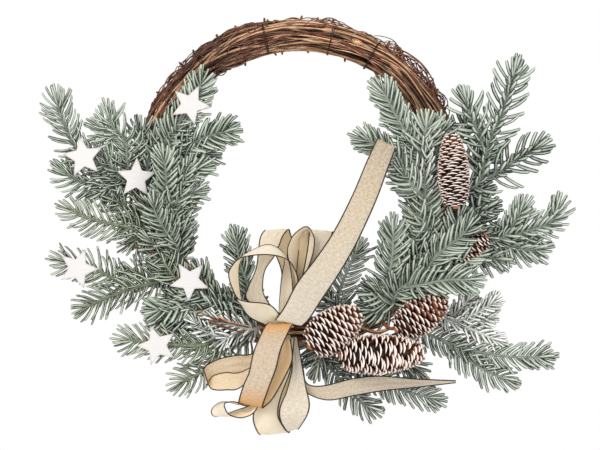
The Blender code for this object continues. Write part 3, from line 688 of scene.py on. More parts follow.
@dataclass
class VineRing:
    """The bundle of vine twigs, wound into a ring."""

    radius: float = 157.5
    bundle: float = 17.0
    outer_twigs: int = 88  # in each of two layers
    inner_twigs: int = 22
    core_radius: float = 10.0
    twist: float = 0.75  # turns round the bundle on a twig's way round the ring
    step: float = 4.0  # from one row of a twig's points to the next
    wobble: tuple[float, float] = (0.22, 1.1)  # of a twig round the bundle, in radians, and in depth
    uneven: float = 0.16  # how much its thickness varies
    knot_gap: float = 38.0  # between a twig's knots
    knot: Hump = (0.0, 4.0, 0.4)  # how much thicker it is there
    ends: int = 9  # rows over which a twig dives into the bundle
    # from this depth outward the twigs are painted fully lit; deeper in, painted shade darkens them
    painted_shade_depth: float = 12.0  # from here outward the twigs lie open to the light
    painted_shade_fade: float = 3.6
    swell: Hump = (113, 10, 0.1)  # where the bundle is thicker, in degrees round the ring
    dents: tuple[Hump, ...] = ((48, 22, 0.24), (138, 11, 0.18))  # where its outside is pressed in
    belly: Hump = (66, 16, 0.15)  # where its inside bulges
    tangles: tuple[Hump, ...] = ((128, 24, 0.45), (38, 16, 0.3))  # where the bark is painted darker, as painted shade
    barks: Point = (-0.75, -0.05, 0.65)  # dark, middling and pale twigs
    bark_shares: Point = (0.25, 0.33, 0.42)
    squareness: float = 2.2  # how far the ring bulges between its top and its sides
    seed: int = 11

    def bulge(self, turn: Array) -> Array:
        """How much wider than round the ring is at a turn."""
        return self.squareness * np.sin(2 * turn) ** 2

    def place(self, turn: Array, around: Array, depth: Array) -> Array:
        """Points of the bundle.

        Args:
            turn: angle round the ring, from the right, in radians.
            around: angle round the bundle, from outward to the front.
            depth: distance from the middle of the bundle.

        Returns:
            The points.
        """
        outward = np.stack((np.cos(turn), np.zeros_like(turn), np.sin(turn)), axis=-1)
        across = outward * np.cos(around)[..., None] + TOWARDS_VIEWER * np.sin(around)[..., None]
        far = np.asarray(depth) * (1 + humps(np.degrees(turn) % 360, self.swell))
        return outward * (self.radius + self.bulge(turn))[..., None] + across * far[..., None]

    def pressed(self, turn: Array, around: Array) -> Array:
        """How far the bundle is pressed in on its outside, where only loose tendrils stand off.

        Args:
            turn: angle round the ring, in radians.
            around: angle round the bundle, from outward to the front.

        Returns:
            The factor of the depth there.
        """
        degrees, out = np.degrees(turn) % 360, np.cos(around)
        return 1 - humps(degrees, *self.dents) * np.clip(out, 0, 1) + humps(degrees, self.belly) * np.clip(-out, 0, 1)

    def twig(self, skin: Skin, dice: Dice, thick: float, depth: float, span: float) -> None:
        """Adds one twig that winds along the bundle.

        Args:
            skin: the surface that it joins.
            dice: the random numbers.
            thick: its radius.
            depth: how far from the middle of the bundle it lies.
            span: how far round the ring it reaches, in radians.
        """
        length = span * self.radius
        count = int(length / self.step)
        start = dice.uniform(0, math.tau)
        turn = np.linspace(start, start + span, count)
        rate = self.twist * dice.uniform(0.3, 2.0) * (-1 if dice.random() < 0.3 else 1)
        knots = max(3, int(length / self.knot_gap))
        around = dice.uniform(0, math.tau) + rate * (turn - start) + self.wobble[0] * wander(dice, count, knots, 2)
        rows = np.arange(count)
        ends = np.minimum(1, np.minimum(rows, rows[::-1]) / self.ends + 0.35)
        reach = (depth + self.wobble[1] * wander(dice, count, knots, 2)) * (0.55 + 0.45 * ends)
        radii = thick * (1 + self.uneven * wander(dice, count, knots * 3, 1)) * ends**0.4
        for at in dice.uniform(0.05, 0.95, knots):
            radii = radii * (1 + humps((rows / count - at) * span * self.radius, self.knot))
        reach = np.minimum(reach, self.bundle + 0.7 - radii)
        path = self.place(turn, around, reach * self.pressed(turn, around))
        shade = dice.choice(self.barks, p=self.bark_shares) + dice.uniform(-0.25, 0.25)
        self.bar(skin, path, radii, 5, shade, dice.uniform(0, 900))

    def bar(self, skin: Skin, path: Array, radii: Array | float, sides: int, tint: float, offset: float) -> None:
        """Adds one bar of bark, marked with how lit each of its points is painted: painted shade darkens it the
        deeper it lies in the bundle and in the tangles.

        Args:
            skin: the surface that it joins.
            path: the points of its middle line.
            radii: its radius at each of them, or one radius.
            sides: points of each of its rings.
            tint: how pale its bark is.
            offset: shifts the grain.
        """
        skin.tube(path, radii, sides, {"tint": tint}, offset)
        x, y, z = skin.points[-1].T
        turn = np.arctan2(z, x)
        out = np.hypot(x, z) - self.radius - self.bulge(turn)
        depth = np.hypot(out, y) / self.pressed(turn, np.arctan2(-y, out))
        tangle = humps(np.degrees(turn), *self.tangles)
        # painted shade: deep and tangled twigs take the furrow colour
        light = np.clip((depth - self.painted_shade_depth) / self.painted_shade_fade, 0.05, 1) * (1 - tangle)
        skin.mark("open", light, skin.count - len(x))

    def build(self, finish: Material) -> None:
        """Makes the ring in two pieces, the twigs that show and those that fill it.

        Args:
            finish: the bark.
        """
        dice = np.random.default_rng(self.seed)
        inside = Skin()
        turn = np.linspace(0, math.tau, 220)
        core = self.place(turn, np.zeros_like(turn), np.zeros_like(turn))
        self.bar(inside, core, self.core_radius, 12, -0.4, 0.0)
        for _ in range(self.inner_twigs):
            self.twig(inside, dice, dice.uniform(2.0, 3.0), dice.uniform(10.0, 12.0), dice.uniform(4.5, 6.2))
        inside.make("vine_twigs_inside", finish, "vine", "vine_ring")
        # each layer that shows, and the depths between which its twigs lie
        for name, low, high in (("vine_twigs_outside", 12.0, 14.8), ("vine_twigs_over", 13.8, 16.4)):
            shown = Skin()
            for _ in range(self.outer_twigs):
                thick = float(np.clip(dice.lognormal(-0.26, 0.34), 0.45, 1.6))
                self.twig(shown, dice, thick, dice.uniform(low, high), dice.uniform(1.6, 5.0))
            shown.make(name, finish, "vine", "vine_ring")
        self.loose_twigs(dice).make("vine_twigs_loose", finish, "vine", "vine_ring")

    def loose_twigs(self, dice: Dice) -> Skin:
        """The twigs that bow off the ring, and the fine tendrils that frizz along it.

        Args:
            dice: the random numbers.

        Returns:
            Their surface.
        """
        skin = Skin()
        for first, last, radius, y, thick in LOOSE_TWIGS:
            count = 34
            share = np.linspace(0, 1, count)
            turn = np.radians(first + (last - first) * share)
            reach = self.radius + (radius - self.radius) * np.sin(math.pi * share) ** 0.5
            path = np.stack((reach * np.cos(turn), y + 0.6 * wander(dice, count, 6), reach * np.sin(turn)), axis=-1)
            radii = thick * (1 + 0.15 * wander(dice, count, 12, 1))
            self.bar(skin, path, radii, 7, dice.uniform(-0.5, 0.3), dice.uniform(0, 900))
        for points, thick, tint in STRAY_TWIGS:
            path = curve_through(points, 8)
            self.bar(skin, path, thick * np.linspace(1.0, 0.6, len(path)), 6, tint, 30.0)
        for first, last, many, near, far, face in FRIZZ:
            for _ in range(many):
                count = 26
                span = dice.uniform(0.06, 0.27)
                start = math.radians(dice.uniform(first, last)) - span / 2
                share = np.linspace(0, 1, count)
                around = dice.uniform(-0.6, face) + dice.uniform(-0.7, 0.7) * share + 0.3 * wander(dice, count, 5, 3)
                bow = np.sin(math.pi * share) ** 0.6
                reach = near + dice.uniform(0.25, 1.0) * far * bow + 2.0 * wander(dice, count, 7, 2) * bow
                turn = start + span * share + 0.016 * wander(dice, count, 6, 3)
                radii = dice.uniform(0.5, 0.8) * (1 - 0.4 * share)
                path = self.place(turn, around, reach)
                self.bar(skin, path, radii, 5, dice.uniform(-0.9, 0.1), dice.uniform(0, 900))
        for degrees in (*STUBS, *dice.uniform(20, 160, 10), *INNER_STUBS):
            turn = math.radians(degrees)
            around = dice.uniform(-0.3, 0.5) + (math.pi if degrees in INNER_STUBS else 0)
            turns = np.array((turn, turn + dice.uniform(-0.03, 0.03)))
            root, tip = self.place(turns, np.full(2, around), np.array((12.5, dice.uniform(19, 21))))
            path = root + (tip - root) * np.linspace(0, 1, len(STUB_RADII))[:, None]
            self.bar(skin, path, STUB_RADII, 8, -0.3, dice.uniform(0, 900))
        return skin


# Twigs that bow off the ring: first and last turn in degrees, radius at the middle, y there, thickness.
LOOSE_TWIGS = (
    (27, 61, 182.0, -5, 0.85),
    (30, 58, 179.5, 1, 0.7),
    (34, 55, 181.2, -9, 0.6),
    (132, 149, 177.3, -6, 0.75),
    (134, 147, 175.2, 0, 0.6),
    (72, 85, 178.5, -3, 0.7),
    (105, 121, 177.5, -4, 1.2),
    (86, 98, 175.5, 4, 1.2),
    (105, 126, 139.5, -7, 1.2),
    (40, 60, 140.0, -4, 1.2),
)


# Fine tendrils: first and last turn in degrees, how many, where they root, how far they stand off
# and how far round the bundle to its front they grow.
FRIZZ = (
    (29, 58, 42, 12.5, 9.5, 0.8),
    (132, 149, 14, 14.0, 4.0, 0.8),
    (134, 158, 20, 15.6, 1.6, 2.6),
    (71, 86, 16, 14.0, 6.0, 0.8),
    (100, 128, 18, 15.2, 3.0, 0.8),
    (106, 133, 52, 15.8, 2.2, 2.9),
    (15, 165, 24, 14.5, 3.0, 0.8),
)

# Cut ends of side shoots, outside and inside the ring: their turns in degrees.
STUBS = (57, 78, 84, 102, 111, 118, 124, 146)
INNER_STUBS = (70, 87, 97, 101, 113)
STUB_RADII = np.array((1.8, 1.6, 1.4, 1.3, 1.2, 0.8))

# Thin twigs that lie loose among the sprays: points, thickness, paleness.
STRAY_TWIGS = (
    (((-100, -33, -139), (-88, -35, -143), (-73, -35, -147), (-52, -33, -152)), 1.3, -0.1),
    (((-104, -33, -134), (-90, -36, -146), (-79, -36, -152)), 0.9, 0.1),
    (((-92, -36, -146), (-76, -37, -152), (-56, -35, -158)), 1.2, -0.2),
    (((-84, -36, -140), (-70, -37, -147), (-50, -34, -151)), 1.0, 0.4),
    (((-150, -30, -73), (-170, -33, -68), (-191, -31, -63)), 1.0, -0.3),
    (((64, -17, -151), (78, -20, -157), (89, -26, -156), (97, -31, -152)), 2.3, 0.5),
    (((60, -8, -166), (78, -9, -166), (94, -9, -163), (110, -8, -156)), 1.7, -0.6),
    (((70, -12, -163), (86, -14, -159), (104, -12, -151)), 1.4, 0.1),
)


@dataclass
class BindingWire:
    """One binding of thin wire, a few turns pulled tight round the bundle."""

    number: int
    turn: float  # angle round the ring, in radians
    turns: float = 2.2
    pitch: float = 0.008  # how far it climbs along the ring in one turn, in radians
    reach: float = 17.1  # from the middle of the bundle
    thick: float = 0.45  # its radius

    def build(self, ring: VineRing, finish: Material) -> None:
        """Makes the binding, whose ends lie at the back.

        Args:
            ring: the ring that it binds.
            finish: the wire's material.
        """
        dice = np.random.default_rng(self.number)
        count = 120
        share = np.linspace(0, 1, count)
        around = -1.9 + share * self.turns * math.tau
        turn = self.turn + (share - 0.5) * self.turns * self.pitch + 0.007 * wander(dice, count, 16)
        reach = self.reach - 0.3 + 0.35 * wander(dice, count, 24, 1)
        skin = Skin()
        skin.tube(ring.place(turn, around, reach * ring.pressed(turn, around)), self.thick, 8, {})
        skin.make(f"wire_binding_{self.number}", finish, "wire", f"binding_wire_{self.number}")


WIRE_TURNS = (7 / 42, 9 / 42, 12 / 42, 15 / 42, 18 / 42)  # shares of the way round the ring


# Fir sprays


@dataclass(frozen=True)
class Habit:
    """How the needles of a spray grow."""

    pitch: float  # from one whorl to the next
    length: float
    lean: float  # from the twig's direction, in degrees
    wide: float = 2.5  # a needle's width
    layers: tuple[tuple[float, float], ...] = ((-34, 0.92), (0, 1.0), (36, 0.9))  # turn, length
    shade: float = 0.5  # how pale its green is
    frost: float = 0.05  # how much white flock it has taken
    tuft: float = 16.0  # from the end of a twig's wood to the tips of its last needles
    curl: float = 0.2  # how much the needles bend towards the twig's tip
    warm: float = 0.25  # how olive it is


class Growth(Enum):
    """The kinds of moulded tip in the wreath."""

    LONG = Habit(8.6, 34.0, 66, 3.9, ((3, 1.0), (60, 0.5), (-55, 0.45)), shade=0.52, tuft=20, curl=0.24, warm=0.1)
    BROAD = Habit(6.8, 28.6, 60, 3.2, ((-24, 0.95), (4, 1.0), (32, 0.9)), shade=0.6, tuft=19)
    PALE = Habit(6.8, 29.0, 58, 3.3, ((3, 1.0), (38, 0.8), (-46, 0.7)), shade=0.8, frost=0.12, tuft=19, warm=0.15)
    DENSE = Habit(6.4, 29.5, 66, 3.1, ((-30, 0.9), (2, 1.0), (34, 0.85)), shade=0.5)
    FEATHER = Habit(7.6, 31.5, 67, 2.7, ((-4, 1.0), (-50, 0.45), (14, 0.95)), tuft=20, curl=0.26)
    OLIVE = Habit(7.6, 29.5, 66, 2.4, ((0, 1.0), (50, 0.45), (-14, 0.95)), shade=0.36, tuft=19, curl=0.24, warm=0.9)
    CLOSE = Habit(6.2, 25.5, 60, 3.1, shade=0.5, tuft=16)
    DARK = Habit(8.2, 26.5, 62, 3.1, ((-28, 0.85), (8, 1.0)), shade=0.4, frost=0.15, tuft=17)
    FROSTED = Habit(7.2, 18.5, 56, 2.7, shade=0.05, frost=1.65, tuft=13, curl=0.14)
    HOAR = Habit(6.6, 18.5, 56, 2.9, shade=0.75, frost=1.3, tuft=14, curl=0.16)


# The last needles of a twig: turn and lean in degrees, and how far before its end they grow.
TUFT = ((90, 5, 0), (0, 15, 0), (180, 17, 1), (10, 29, 2.5), (170, 31, 4), (0, 44, 6), (180, 46, 7.5), (-70, 30, 3))

# Each spray's growth and its twigs, from root to the tips of the last needles.
SPRAYS: dict[str, tuple[Growth, tuple[Path, ...]]] = {
    "fir_spray_top_left": (Growth.DENSE, (
        ((-152, -8, 10), (-146, -22, 28), (-140, -28, 45), (-119, -32, 72), (-104, -34, 98), (-100, -36, 119)),
        ((-148, -17, 21), (-132, -24, 23), (-115, -29, 39), (-88, -32, 51), (-62, -32, 56)),
        ((-150, -14, 12), (-130, -24, 17), (-108, -28, 28), (-84, -30, 35)),
    )),
    "fir_spray_upper_left": (Growth.FEATHER, (
        ((-158, -8, -6), (-176, -20, 3), (-230, -30, 34), (-243, -30, 56), (-252, -30, 78), (-256, -30, 101)),
        ((-176, -20, 3), (-180, -28, 24), (-182, -31, 45), (-196, -33, 61), (-198, -34, 85)),
        ((-182, -31, 45), (-202, -30, 54), (-219, -28, 66)),
        ((-176, -20, 3), (-193, -22, -5), (-216, -24, 0), (-239, -26, 6), (-256, -27, 21)),
        ((-156, -14, -7), (-162, -24, 24), (-169, -27, 69)),
        ((-167, -20, -7), (-192, -26, 12), (-212, -28, 37)),
        ((-176, -22, 2), (-196, -24, -4), (-221, -25, -16)),
        ((-156, -12, -31), (-159, -24, -5), (-157, -27, 24), (-148, -27, 60)),
        ((-156, -14, 3), (-143, -27, 26), (-129, -30, 54), (-120, -31, 71)),
    )),
    "fir_spray_mid_left": (Growth.OLIVE, (
        ((-150, -8, -56), (-162, -22, -53), (-179, -30, -47), (-217, -34, -38), (-251, -34, -24)),
        ((-162, -22, -53), (-173, -28, -62), (-187, -30, -68)),
        ((-156, -16, -43), (-181, -24, -25), (-206, -26, -12)),
        ((-154, -18, -58), (-169, -26, -41), (-188, -26, -33)),
        ((-143, -12, -83), (-153, -24, -58), (-158, -26, -33), (-160, -26, -3)),
    )),
    "fir_spray_lower_left": (Growth.OLIVE, (
        ((-130, -8, -96), (-145, -22, -103), (-179, -32, -113), (-199, -33, -120), (-236, -32, -137)),
        ((-162, -27, -108), (-182, -29, -107), (-213, -30, -91), (-242, -30, -84), (-259, -30, -76)),
        ((-131, -16, -104), (-143, -24, -92), (-158, -27, -81)),
        ((-141, -18, -111), (-167, -26, -98), (-188, -26, -90)),
        ((-100, -10, -128), (-118, -24, -113), (-137, -26, -90), (-150, -26, -64)),
    )),
    "fir_spray_inner_left": (Growth.CLOSE, (
        ((-126, -8, -88), (-125, -22, -70), (-126, -28, -51), (-121, -30, -30), (-118, -30, -13)),
        ((-126, -28, -51), (-133, -34, -32), (-120, -38, -15), (-96, -38, -4)),
        ((-132, -34, -32), (-134, -36, -8), (-116, -36, 9), (-90, -35, 22)),
        ((-126, -22, -70), (-138, -36, -52), (-150, -46, -30), (-153, -52, -12)),
        ((-124, -14, -85), (-135, -28, -58), (-144, -34, -26), (-145, -36, -1)),
        ((-126, -12, -92), (-126, -22, -71), (-122, -26, -52), (-118, -28, -33)),
        ((-133, -14, -77), (-150, -28, -66), (-163, -32, -52)),
        ((-139, -14, -60), (-133, -32, -31), (-124, -36, -3), (-112, -36, 26)),
        ((-145, -14, -41), (-139, -36, -14), (-139, -44, 14), (-145, -46, 37)),
    )),
    "fir_spray_short_left": (Growth.CLOSE, (
        ((-100, -8, -122), (-112, -22, -125), (-134, -28, -132), (-162, -29, -135)),
        ((-61, -14, -138), (-84, -26, -125), (-108, -29, -115), (-129, -30, -109)),
        ((-70, -10, -136), (-93, -22, -114), (-109, -24, -83)),
        ((-55, -10, -140), (-67, -22, -128), (-76, -24, -113)),
        ((-74, -12, -142), (-105, -24, -140), (-133, -25, -142), (-158, -25, -144)),
        ((-38, -10, -163), (-65, -24, -147), (-89, -26, -134), (-108, -26, -123)),
        ((-80, -10, -147), (-103, -22, -130), (-124, -24, -123), (-145, -24, -123)),
    )),
    "fir_spray_bottom_left": (Growth.OLIVE, (
        ((-66, -8, -143), (-80, -22, -160), (-103, -28, -171), (-134, -30, -170), (-193, -30, -164)),
        ((-80, -22, -160), (-84, -24, -178), (-97, -26, -196), (-120, -27, -209), (-134, -27, -216)),
        ((-44, -12, -161), (-63, -22, -172), (-97, -26, -173), (-122, -26, -172)),
        ((-70, -12, -161), (-98, -22, -157), (-126, -22, -155), (-145, -22, -153)),
    )),
    "frosted_spray_left": (Growth.FROSTED, (
        ((-38, -8, -153), (-50, -26, -154), (-75, -31, -148), (-99, -32, -140)),
        ((-51, -12, -161), (-76, -26, -163), (-98, -29, -155), (-118, -30, -140)),
        ((-42, -12, -157), (-65, -28, -159), (-86, -30, -170)),
    )),
    "fir_spray_by_bow": (Growth.CLOSE, (
        ((-48, -8, -146), (-50, -22, -130), (-53, -24, -107), (-61, -26, -85), (-67, -28, -47)),
    )),
    "fir_spray_inner_right": (Growth.BROAD, (
        ((140, -8, -70), (135, -24, -48), (134, -32, -5), (131, -33, 23), (109, -34, 60), (82, -34, 110)),
        ((131, -33, 23), (134, -38, 50), (137, -40, 75)),
        ((134, -32, -5), (112, -36, 18), (80, -38, 41), (57, -38, 48)),
        ((134, -29, -16), (125, -36, -8), (114, -38, 4), (102, -39, 21)),
        ((141, -16, -14), (143, -30, 16), (147, -32, 43), (150, -33, 71)),
        ((139, -18, -9), (129, -32, 24), (122, -34, 64)),
        ((141, -14, -24), (130, -26, -9), (117, -28, 12), (108, -28, 33)),
        ((150, -10, -60), (139, -24, -52), (128, -28, -36), (116, -30, -14)),
    )),
    "fir_spray_upper_right": (Growth.LONG, (
        ((162, -8, -16), (178, -18, -8), (192, -22, 3), (200, -25, 38), (215, -27, 75), (233, -28, 130)),
        ((198, -24, 30), (189, -27, 56), (182, -28, 70), (171, -28, 100)),
        ((192, -22, 3), (215, -25, 13), (229, -26, 24), (264, -27, 44)),
        ((162, -8, -35), (186, -14, -31), (213, -16, -24)),
        ((167, -8, -18), (183, -14, -11), (207, -16, -6)),
        ((173, -6, -56), (186, -14, -41), (196, -16, -14)),
        ((173, -8, 14), (190, -16, 26), (204, -18, 45)),
        ((167, -8, 35), (177, -18, 56), (181, -20, 79)),
    )),
    "fir_spray_mid_right": (Growth.PALE, (
        ((157, -4, -46), (180, -6, -50), (209, -10, -58), (241, -20, -51), (264, -24, -42), (272, -24, -30),
         (273, -24, -14)),
        ((199, -9, -66), (218, -15, -56), (232, -20, -36), (240, -24, -15)),
        ((209, -10, -58), (225, -14, -66), (240, -18, -70), (266, -20, -68)),
        ((158, -6, -64), (190, -9, -75), (226, -12, -84)),
        ((156, -8, -52), (181, -12, -56), (211, -13, -60)),
    )),
    "fir_spray_low_right": (Growth.BROAD, (
        ((98, -8, -122), (103, -24, -115), (133, -38, -93), (146, -40, -76), (175, -38, -52), (181, -36, -34)),
        ((110, -27, -110), (128, -42, -108), (155, -45, -102), (194, -42, -102)),
        ((101, -17, -118), (96, -26, -101), (99, -32, -78), (101, -33, -36)),
        ((110, -12, -123), (120, -22, -92), (122, -26, -60), (116, -27, -37)),
        ((112, -12, -125), (91, -24, -119), (65, -26, -113)),
        ((105, -12, -130), (84, -22, -134), (61, -24, -130)),
        ((120, -14, -115), (150, -30, -100), (173, -34, -83), (196, -34, -71)),
        ((143, -12, -102), (158, -26, -73), (167, -28, -47), (169, -28, -22)),
        ((99, -12, -136), (103, -24, -119), (118, -28, -90), (139, -28, -60)),
    )),
    "frosted_spray_right": (Growth.HOAR, (
        ((124, -4, -104), (134, -6, -120), (150, -12, -138), (165, -18, -146), (197, -28, -132), (210, -30, -118)),
        ((165, -18, -146), (185, -24, -155), (203, -28, -163), (217, -28, -169)),
        ((150, -6, -151), (169, -18, -136), (186, -24, -115)),
        ((162, -8, -153), (190, -22, -147), (209, -26, -136)),
    )),
    "fir_spray_lower_right": (Growth.DARK, (
        ((104, -4, -126), (114, -6, -142), (130, -8, -156), (175, -20, -174), (221, -27, -183), (270, -28, -183)),
        ((150, -14, -164), (175, -20, -183), (198, -24, -198), (231, -26, -211)),
        ((104, -6, -161), (112, -12, -174), (121, -16, -187)),
    )),
    "fir_spray_bottom_right": (Growth.DARK, (
        ((34, -4, -158), (42, -8, -178), (60, -16, -193), (103, -25, -216), (154, -26, -230)),
        ((38, -6, -168), (27, -14, -184), (38, -19, -200), (66, -24, -231), (88, -25, -241)),
        ((78, -6, -165), (103, -16, -184), (130, -20, -199)),
        ((30, -6, -161), (25, -18, -182), (15, -20, -206)),
        ((23, -4, -161), (14, -12, -174), (8, -14, -191)),
        ((55, -6, -165), (61, -16, -189), (72, -20, -203)),
        ((65, -6, -168), (91, -16, -178), (116, -20, -189), (133, -20, -206)),
    )),
    "fir_spray_by_tail": (Growth.DARK, (
        ((48, -8, -148), (42, -20, -128), (46, -24, -108), (56, -28, -84), (68, -30, -60)),
        ((48, -8, -147), (42, -20, -136), (31, -22, -124), (20, -23, -114)),
    )),
}


class Neighbours:
    """What the needles keep clear of: the bow, the cones, the stars, the ring and the wall."""

    front: float = -68.0  # no needle comes nearer to the viewer
    wall: float = 16.0
    bundle: float = 14.5  # of the ring, which the outer half of a needle keeps out of
    gap: float = 0.4
    star_gaps: tuple[float, float] = (1.2, 0.6)  # round a star's outline and behind it

    def __init__(self, stars: Sequence["WoodenStar"]) -> None:
        """Reads the frame's solids.

        Args:
            stars: the stars, which needles lie behind.
        """
        shown = [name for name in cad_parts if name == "ribbon_bow" or "pine_cone" in name]
        self.trees = [(self.tree(name), name == "pine_cone_hidden") for name in shown]
        beside, behind = self.star_gaps
        self.stars = [(star.outline(beside), star.back - behind) for star in stars]

    @staticmethod
    def tree(name: str) -> BVHTree:
        """A search tree over a solid of the frame.

        Args:
            name: the solid's node.

        Returns:
            The tree.
        """
        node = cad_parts[name]
        spots = [node.matrix_world @ vertex.co for vertex in node.data.vertices]
        return BVHTree.FromPolygons(spots, [tuple(face.vertices) for face in node.data.polygons])

    def clear(self, spots: Array, thick: float) -> bool:
        """Whether a needle stays behind the bow, cones and stars, and out of the ring and the wall.

        Args:
            spots: points along the needle.
            thick: its half width.

        Returns:
            True if it does.
        """
        if spots[:, 1].min() < self.front or spots[:, 1].max() > self.wall:
            return False
        far = spots[len(spots) // 2 :]
        around = np.hypot(np.hypot(far[:, 0], far[:, 2]) - VineRing.radius, far[:, 1])
        if around.min() < self.bundle:
            return False
        for outline, back in self.stars:
            if (spots[:, 1] < back).any() and any(inside(outline, x, z) for x, y, z in spots if y < back):
                return False
        for tree, covered in self.trees:
            for x, y, z in spots:
                place = Vector((x, y, z - HOOK_SEAT)) * MM
                if tree.find_nearest(place, (thick + self.gap) * MM)[0]:
                    return False
                if not covered and tree.ray_cast(place, Vector((0, 1, 0)))[0]:
                    return False
        return True


def inside(outline: Array, x: float, z: float) -> bool:
    """Whether a point lies within a closed outline.

    Args:
        outline: the outline's corners, as x and z.
        x: the point's x.
        z: the point's z.

    Returns:
        True if it lies within.
    """
    after = np.roll(outline, -1, axis=0)
    over = (outline[:, 1] > z) != (after[:, 1] > z)
    rise = np.where(over, after[:, 1] - outline[:, 1], 1.0)
    cross = outline[:, 0] + (z - outline[:, 1]) * (after[:, 0] - outline[:, 0]) / rise
    return bool((over & (x < cross)).sum() % 2)


@dataclass
class NeedleSpray:
    """A moulded spray: wired twigs with flat, blunt needles on both sides and a tuft at each tip."""

    name: str
    seed: int
    growth: Growth
    twigs: tuple[Path, ...]
    bare: float = 9.0  # of each twig, with no needles
    stem: tuple[float, float] = (2.1, 1.3)
    step: float = 2.2  # from one row of a twig's points to the next
    cuts: tuple[float, float] = (1.0, 0.72)  # of its length, tried in turn until a needle is clear
    asides: tuple[float, ...] = (0, 22, -22, 45, -45)  # how far it is turned for that, in degrees
    kept_off: float = 1.0  # from its neighbours, round its middle line
    half_widths: tuple[float, float] = (0.42, 0.54)  # of its growth's width
    tints: tuple[float, float] = (-0.32, 0.4)
    frosts: tuple[float, float] = (0.1, 1.5)
    # painted shade: needles that lie further back than this get a darker tint, over the next depth
    needle_shade_from: float = -34.0  # behind this y a needle gets duller
    needle_shade_over: float = 24.0
    needle_painted_shade: float = 0.38
    dusted: tuple[Hump, Hump] = ((138, 14, 0.6), (25, 34, 1.0))  # the x and z where they took more white
    shares: tuple[float, ...] = (0.0, 0.12, 0.35, 0.65, 0.9, 0.975, 1.0)  # rings of a needle, root to tip
    widths: tuple[float, ...] = (0.6, 0.82, 1.0, 1.06, 1.0, 0.78, 0.36)
    sides: int = 6
    flatness: float = 0.6

    def plan(self, length: float, dice: Dice) -> list[tuple[float, float, float, float]]:
        """Where the needles of a twig grow.

        Args:
            length: the length of the twig's wood.
            dice: the random numbers.

        Returns:
            For each needle its run along the twig, its turn from the picture's plane and its lean,
            both in degrees, and its length.
        """
        habit = self.growth.value
        found = []
        whorls = max(1, int((length - self.bare) / habit.pitch))
        for i in range(whorls):  # towards the tip they get shorter and lean more along the twig
            share = i / whorls
            for half, base in enumerate((0, 180)):
                for k, (turn, size) in enumerate(habit.layers):
                    run = self.bare + (i + 0.5 * half + k / len(habit.layers)) * habit.pitch
                    lift = turn if half == 0 else -turn
                    lean = habit.lean + 6 - 14 * share + dice.uniform(-6, 6) - abs(turn) * 0.12
                    grown = habit.length * size * dice.uniform(0.9, 1.1) * (1 - 0.14 * share)
                    found.append((min(run, length - 1), base + lift + dice.uniform(-9, 9), lean, grown))
        for turn, lean, back in TUFT:
            grown = dice.uniform(1.0, 1.2) * habit.tuft + 0.4 * back
            found.append((length - 1.2 - back, turn + dice.uniform(-12, 12), lean + dice.uniform(-5, 5), grown))
        return found

    def needle(
        self, root: Array, ahead: Array, turn: float, lean: float, length: float, bend: tuple[float, float]
    ) -> tuple[Array, Array]:
        """The middle line of a needle.

        Args:
            root: where it leaves the twig.
            ahead: the twig's direction there.
            turn: its turn from the picture's plane, in degrees.
            lean: its lean from the twig's direction, in degrees.
            length: its length.
            bend: how much it bends towards the twig's tip and aside.

        Returns:
            The points at its rings, and its direction.
        """
        side = unit(np.cross(ahead, -TOWARDS_VIEWER))
        lift = np.cross(ahead, side)
        angle, tilt = math.radians(turn), math.radians(lean)
        out = side * math.cos(angle) - lift * math.sin(angle)
        way = ahead * math.cos(tilt) + out * math.sin(tilt)
        t = np.array(self.shares)[:, None]
        return root + length * (way * t + (bend[0] * (ahead - way) + bend[1] * np.cross(ahead, way)) * t**2), way

    def build(self, neighbours: Neighbours, finish: Material) -> None:
        """Makes the spray as one piece.

        Args:
            neighbours: what the needles keep clear of.
            finish: the needles' material.
        """
        dice = np.random.default_rng(self.seed)
        habit = self.growth.value
        skin = Skin()
        needles = []
        for points in self.twigs:
            path = curve_through(points, 6)
            length = run_of(path)[-1] - habit.tuft + 4.0
            spots, _ = at_runs(path, np.linspace(0, length, max(8, int(length / self.step))))
            shade = habit.shade + dice.uniform(-0.12, 0.12)
            radii = np.linspace(*self.stem, len(spots)) * (1 + 0.1 * wander(dice, len(spots), len(spots), 0))
            marks = {"tint": shade, "rim": 0.5, "tip": 0.15, "frost": habit.frost * 0.5, "warm": habit.warm}
            skin.tube(spots, radii, 8, marks)
            for run, turn, lean, grown in self.plan(length, dice):
                root, ahead = at_runs(path, np.array([run]))
                bend = (habit.curl * dice.uniform(0.5, 1.6), dice.normal(0, 0.09))
                for cut, aside in itertools.product(self.cuts, self.asides):
                    line, way = self.needle(root[0], ahead[0], turn + aside, lean, grown * cut, bend)
                    if neighbours.clear(line[2:], self.kept_off):
                        wide = habit.wide * dice.uniform(*self.half_widths) * (0.85 + 0.15 * cut)
                        # painted shade for needles that lie further back
                        hidden = min(max((line[:, 1].mean() - self.needle_shade_from) / self.needle_shade_over, 0), 1)
                        tint = shade + dice.uniform(*self.tints) - self.needle_painted_shade * hidden
                        frost = habit.frost * dice.uniform(*self.frosts) + self.dusting(line)
                        needles.append((line, way, wide, tint, frost))
                        break
        self.add_needles(skin, dice, *(np.array(part) for part in zip(*needles)))
        slot = "frosted_needle" if "frosted" in self.name else "needle"
        skin.make(self.name + "_needles", finish, slot, self.name)

    def dusting(self, line: Array) -> float:
        """How much more white a needle has taken: those left of the upright cone have the most.

        Args:
            line: the needle's middle line.

        Returns:
            What is added to its frost.
        """
        x, _, z = line[-1]
        return humps(x, self.dusted[0]) * humps(z, self.dusted[1])

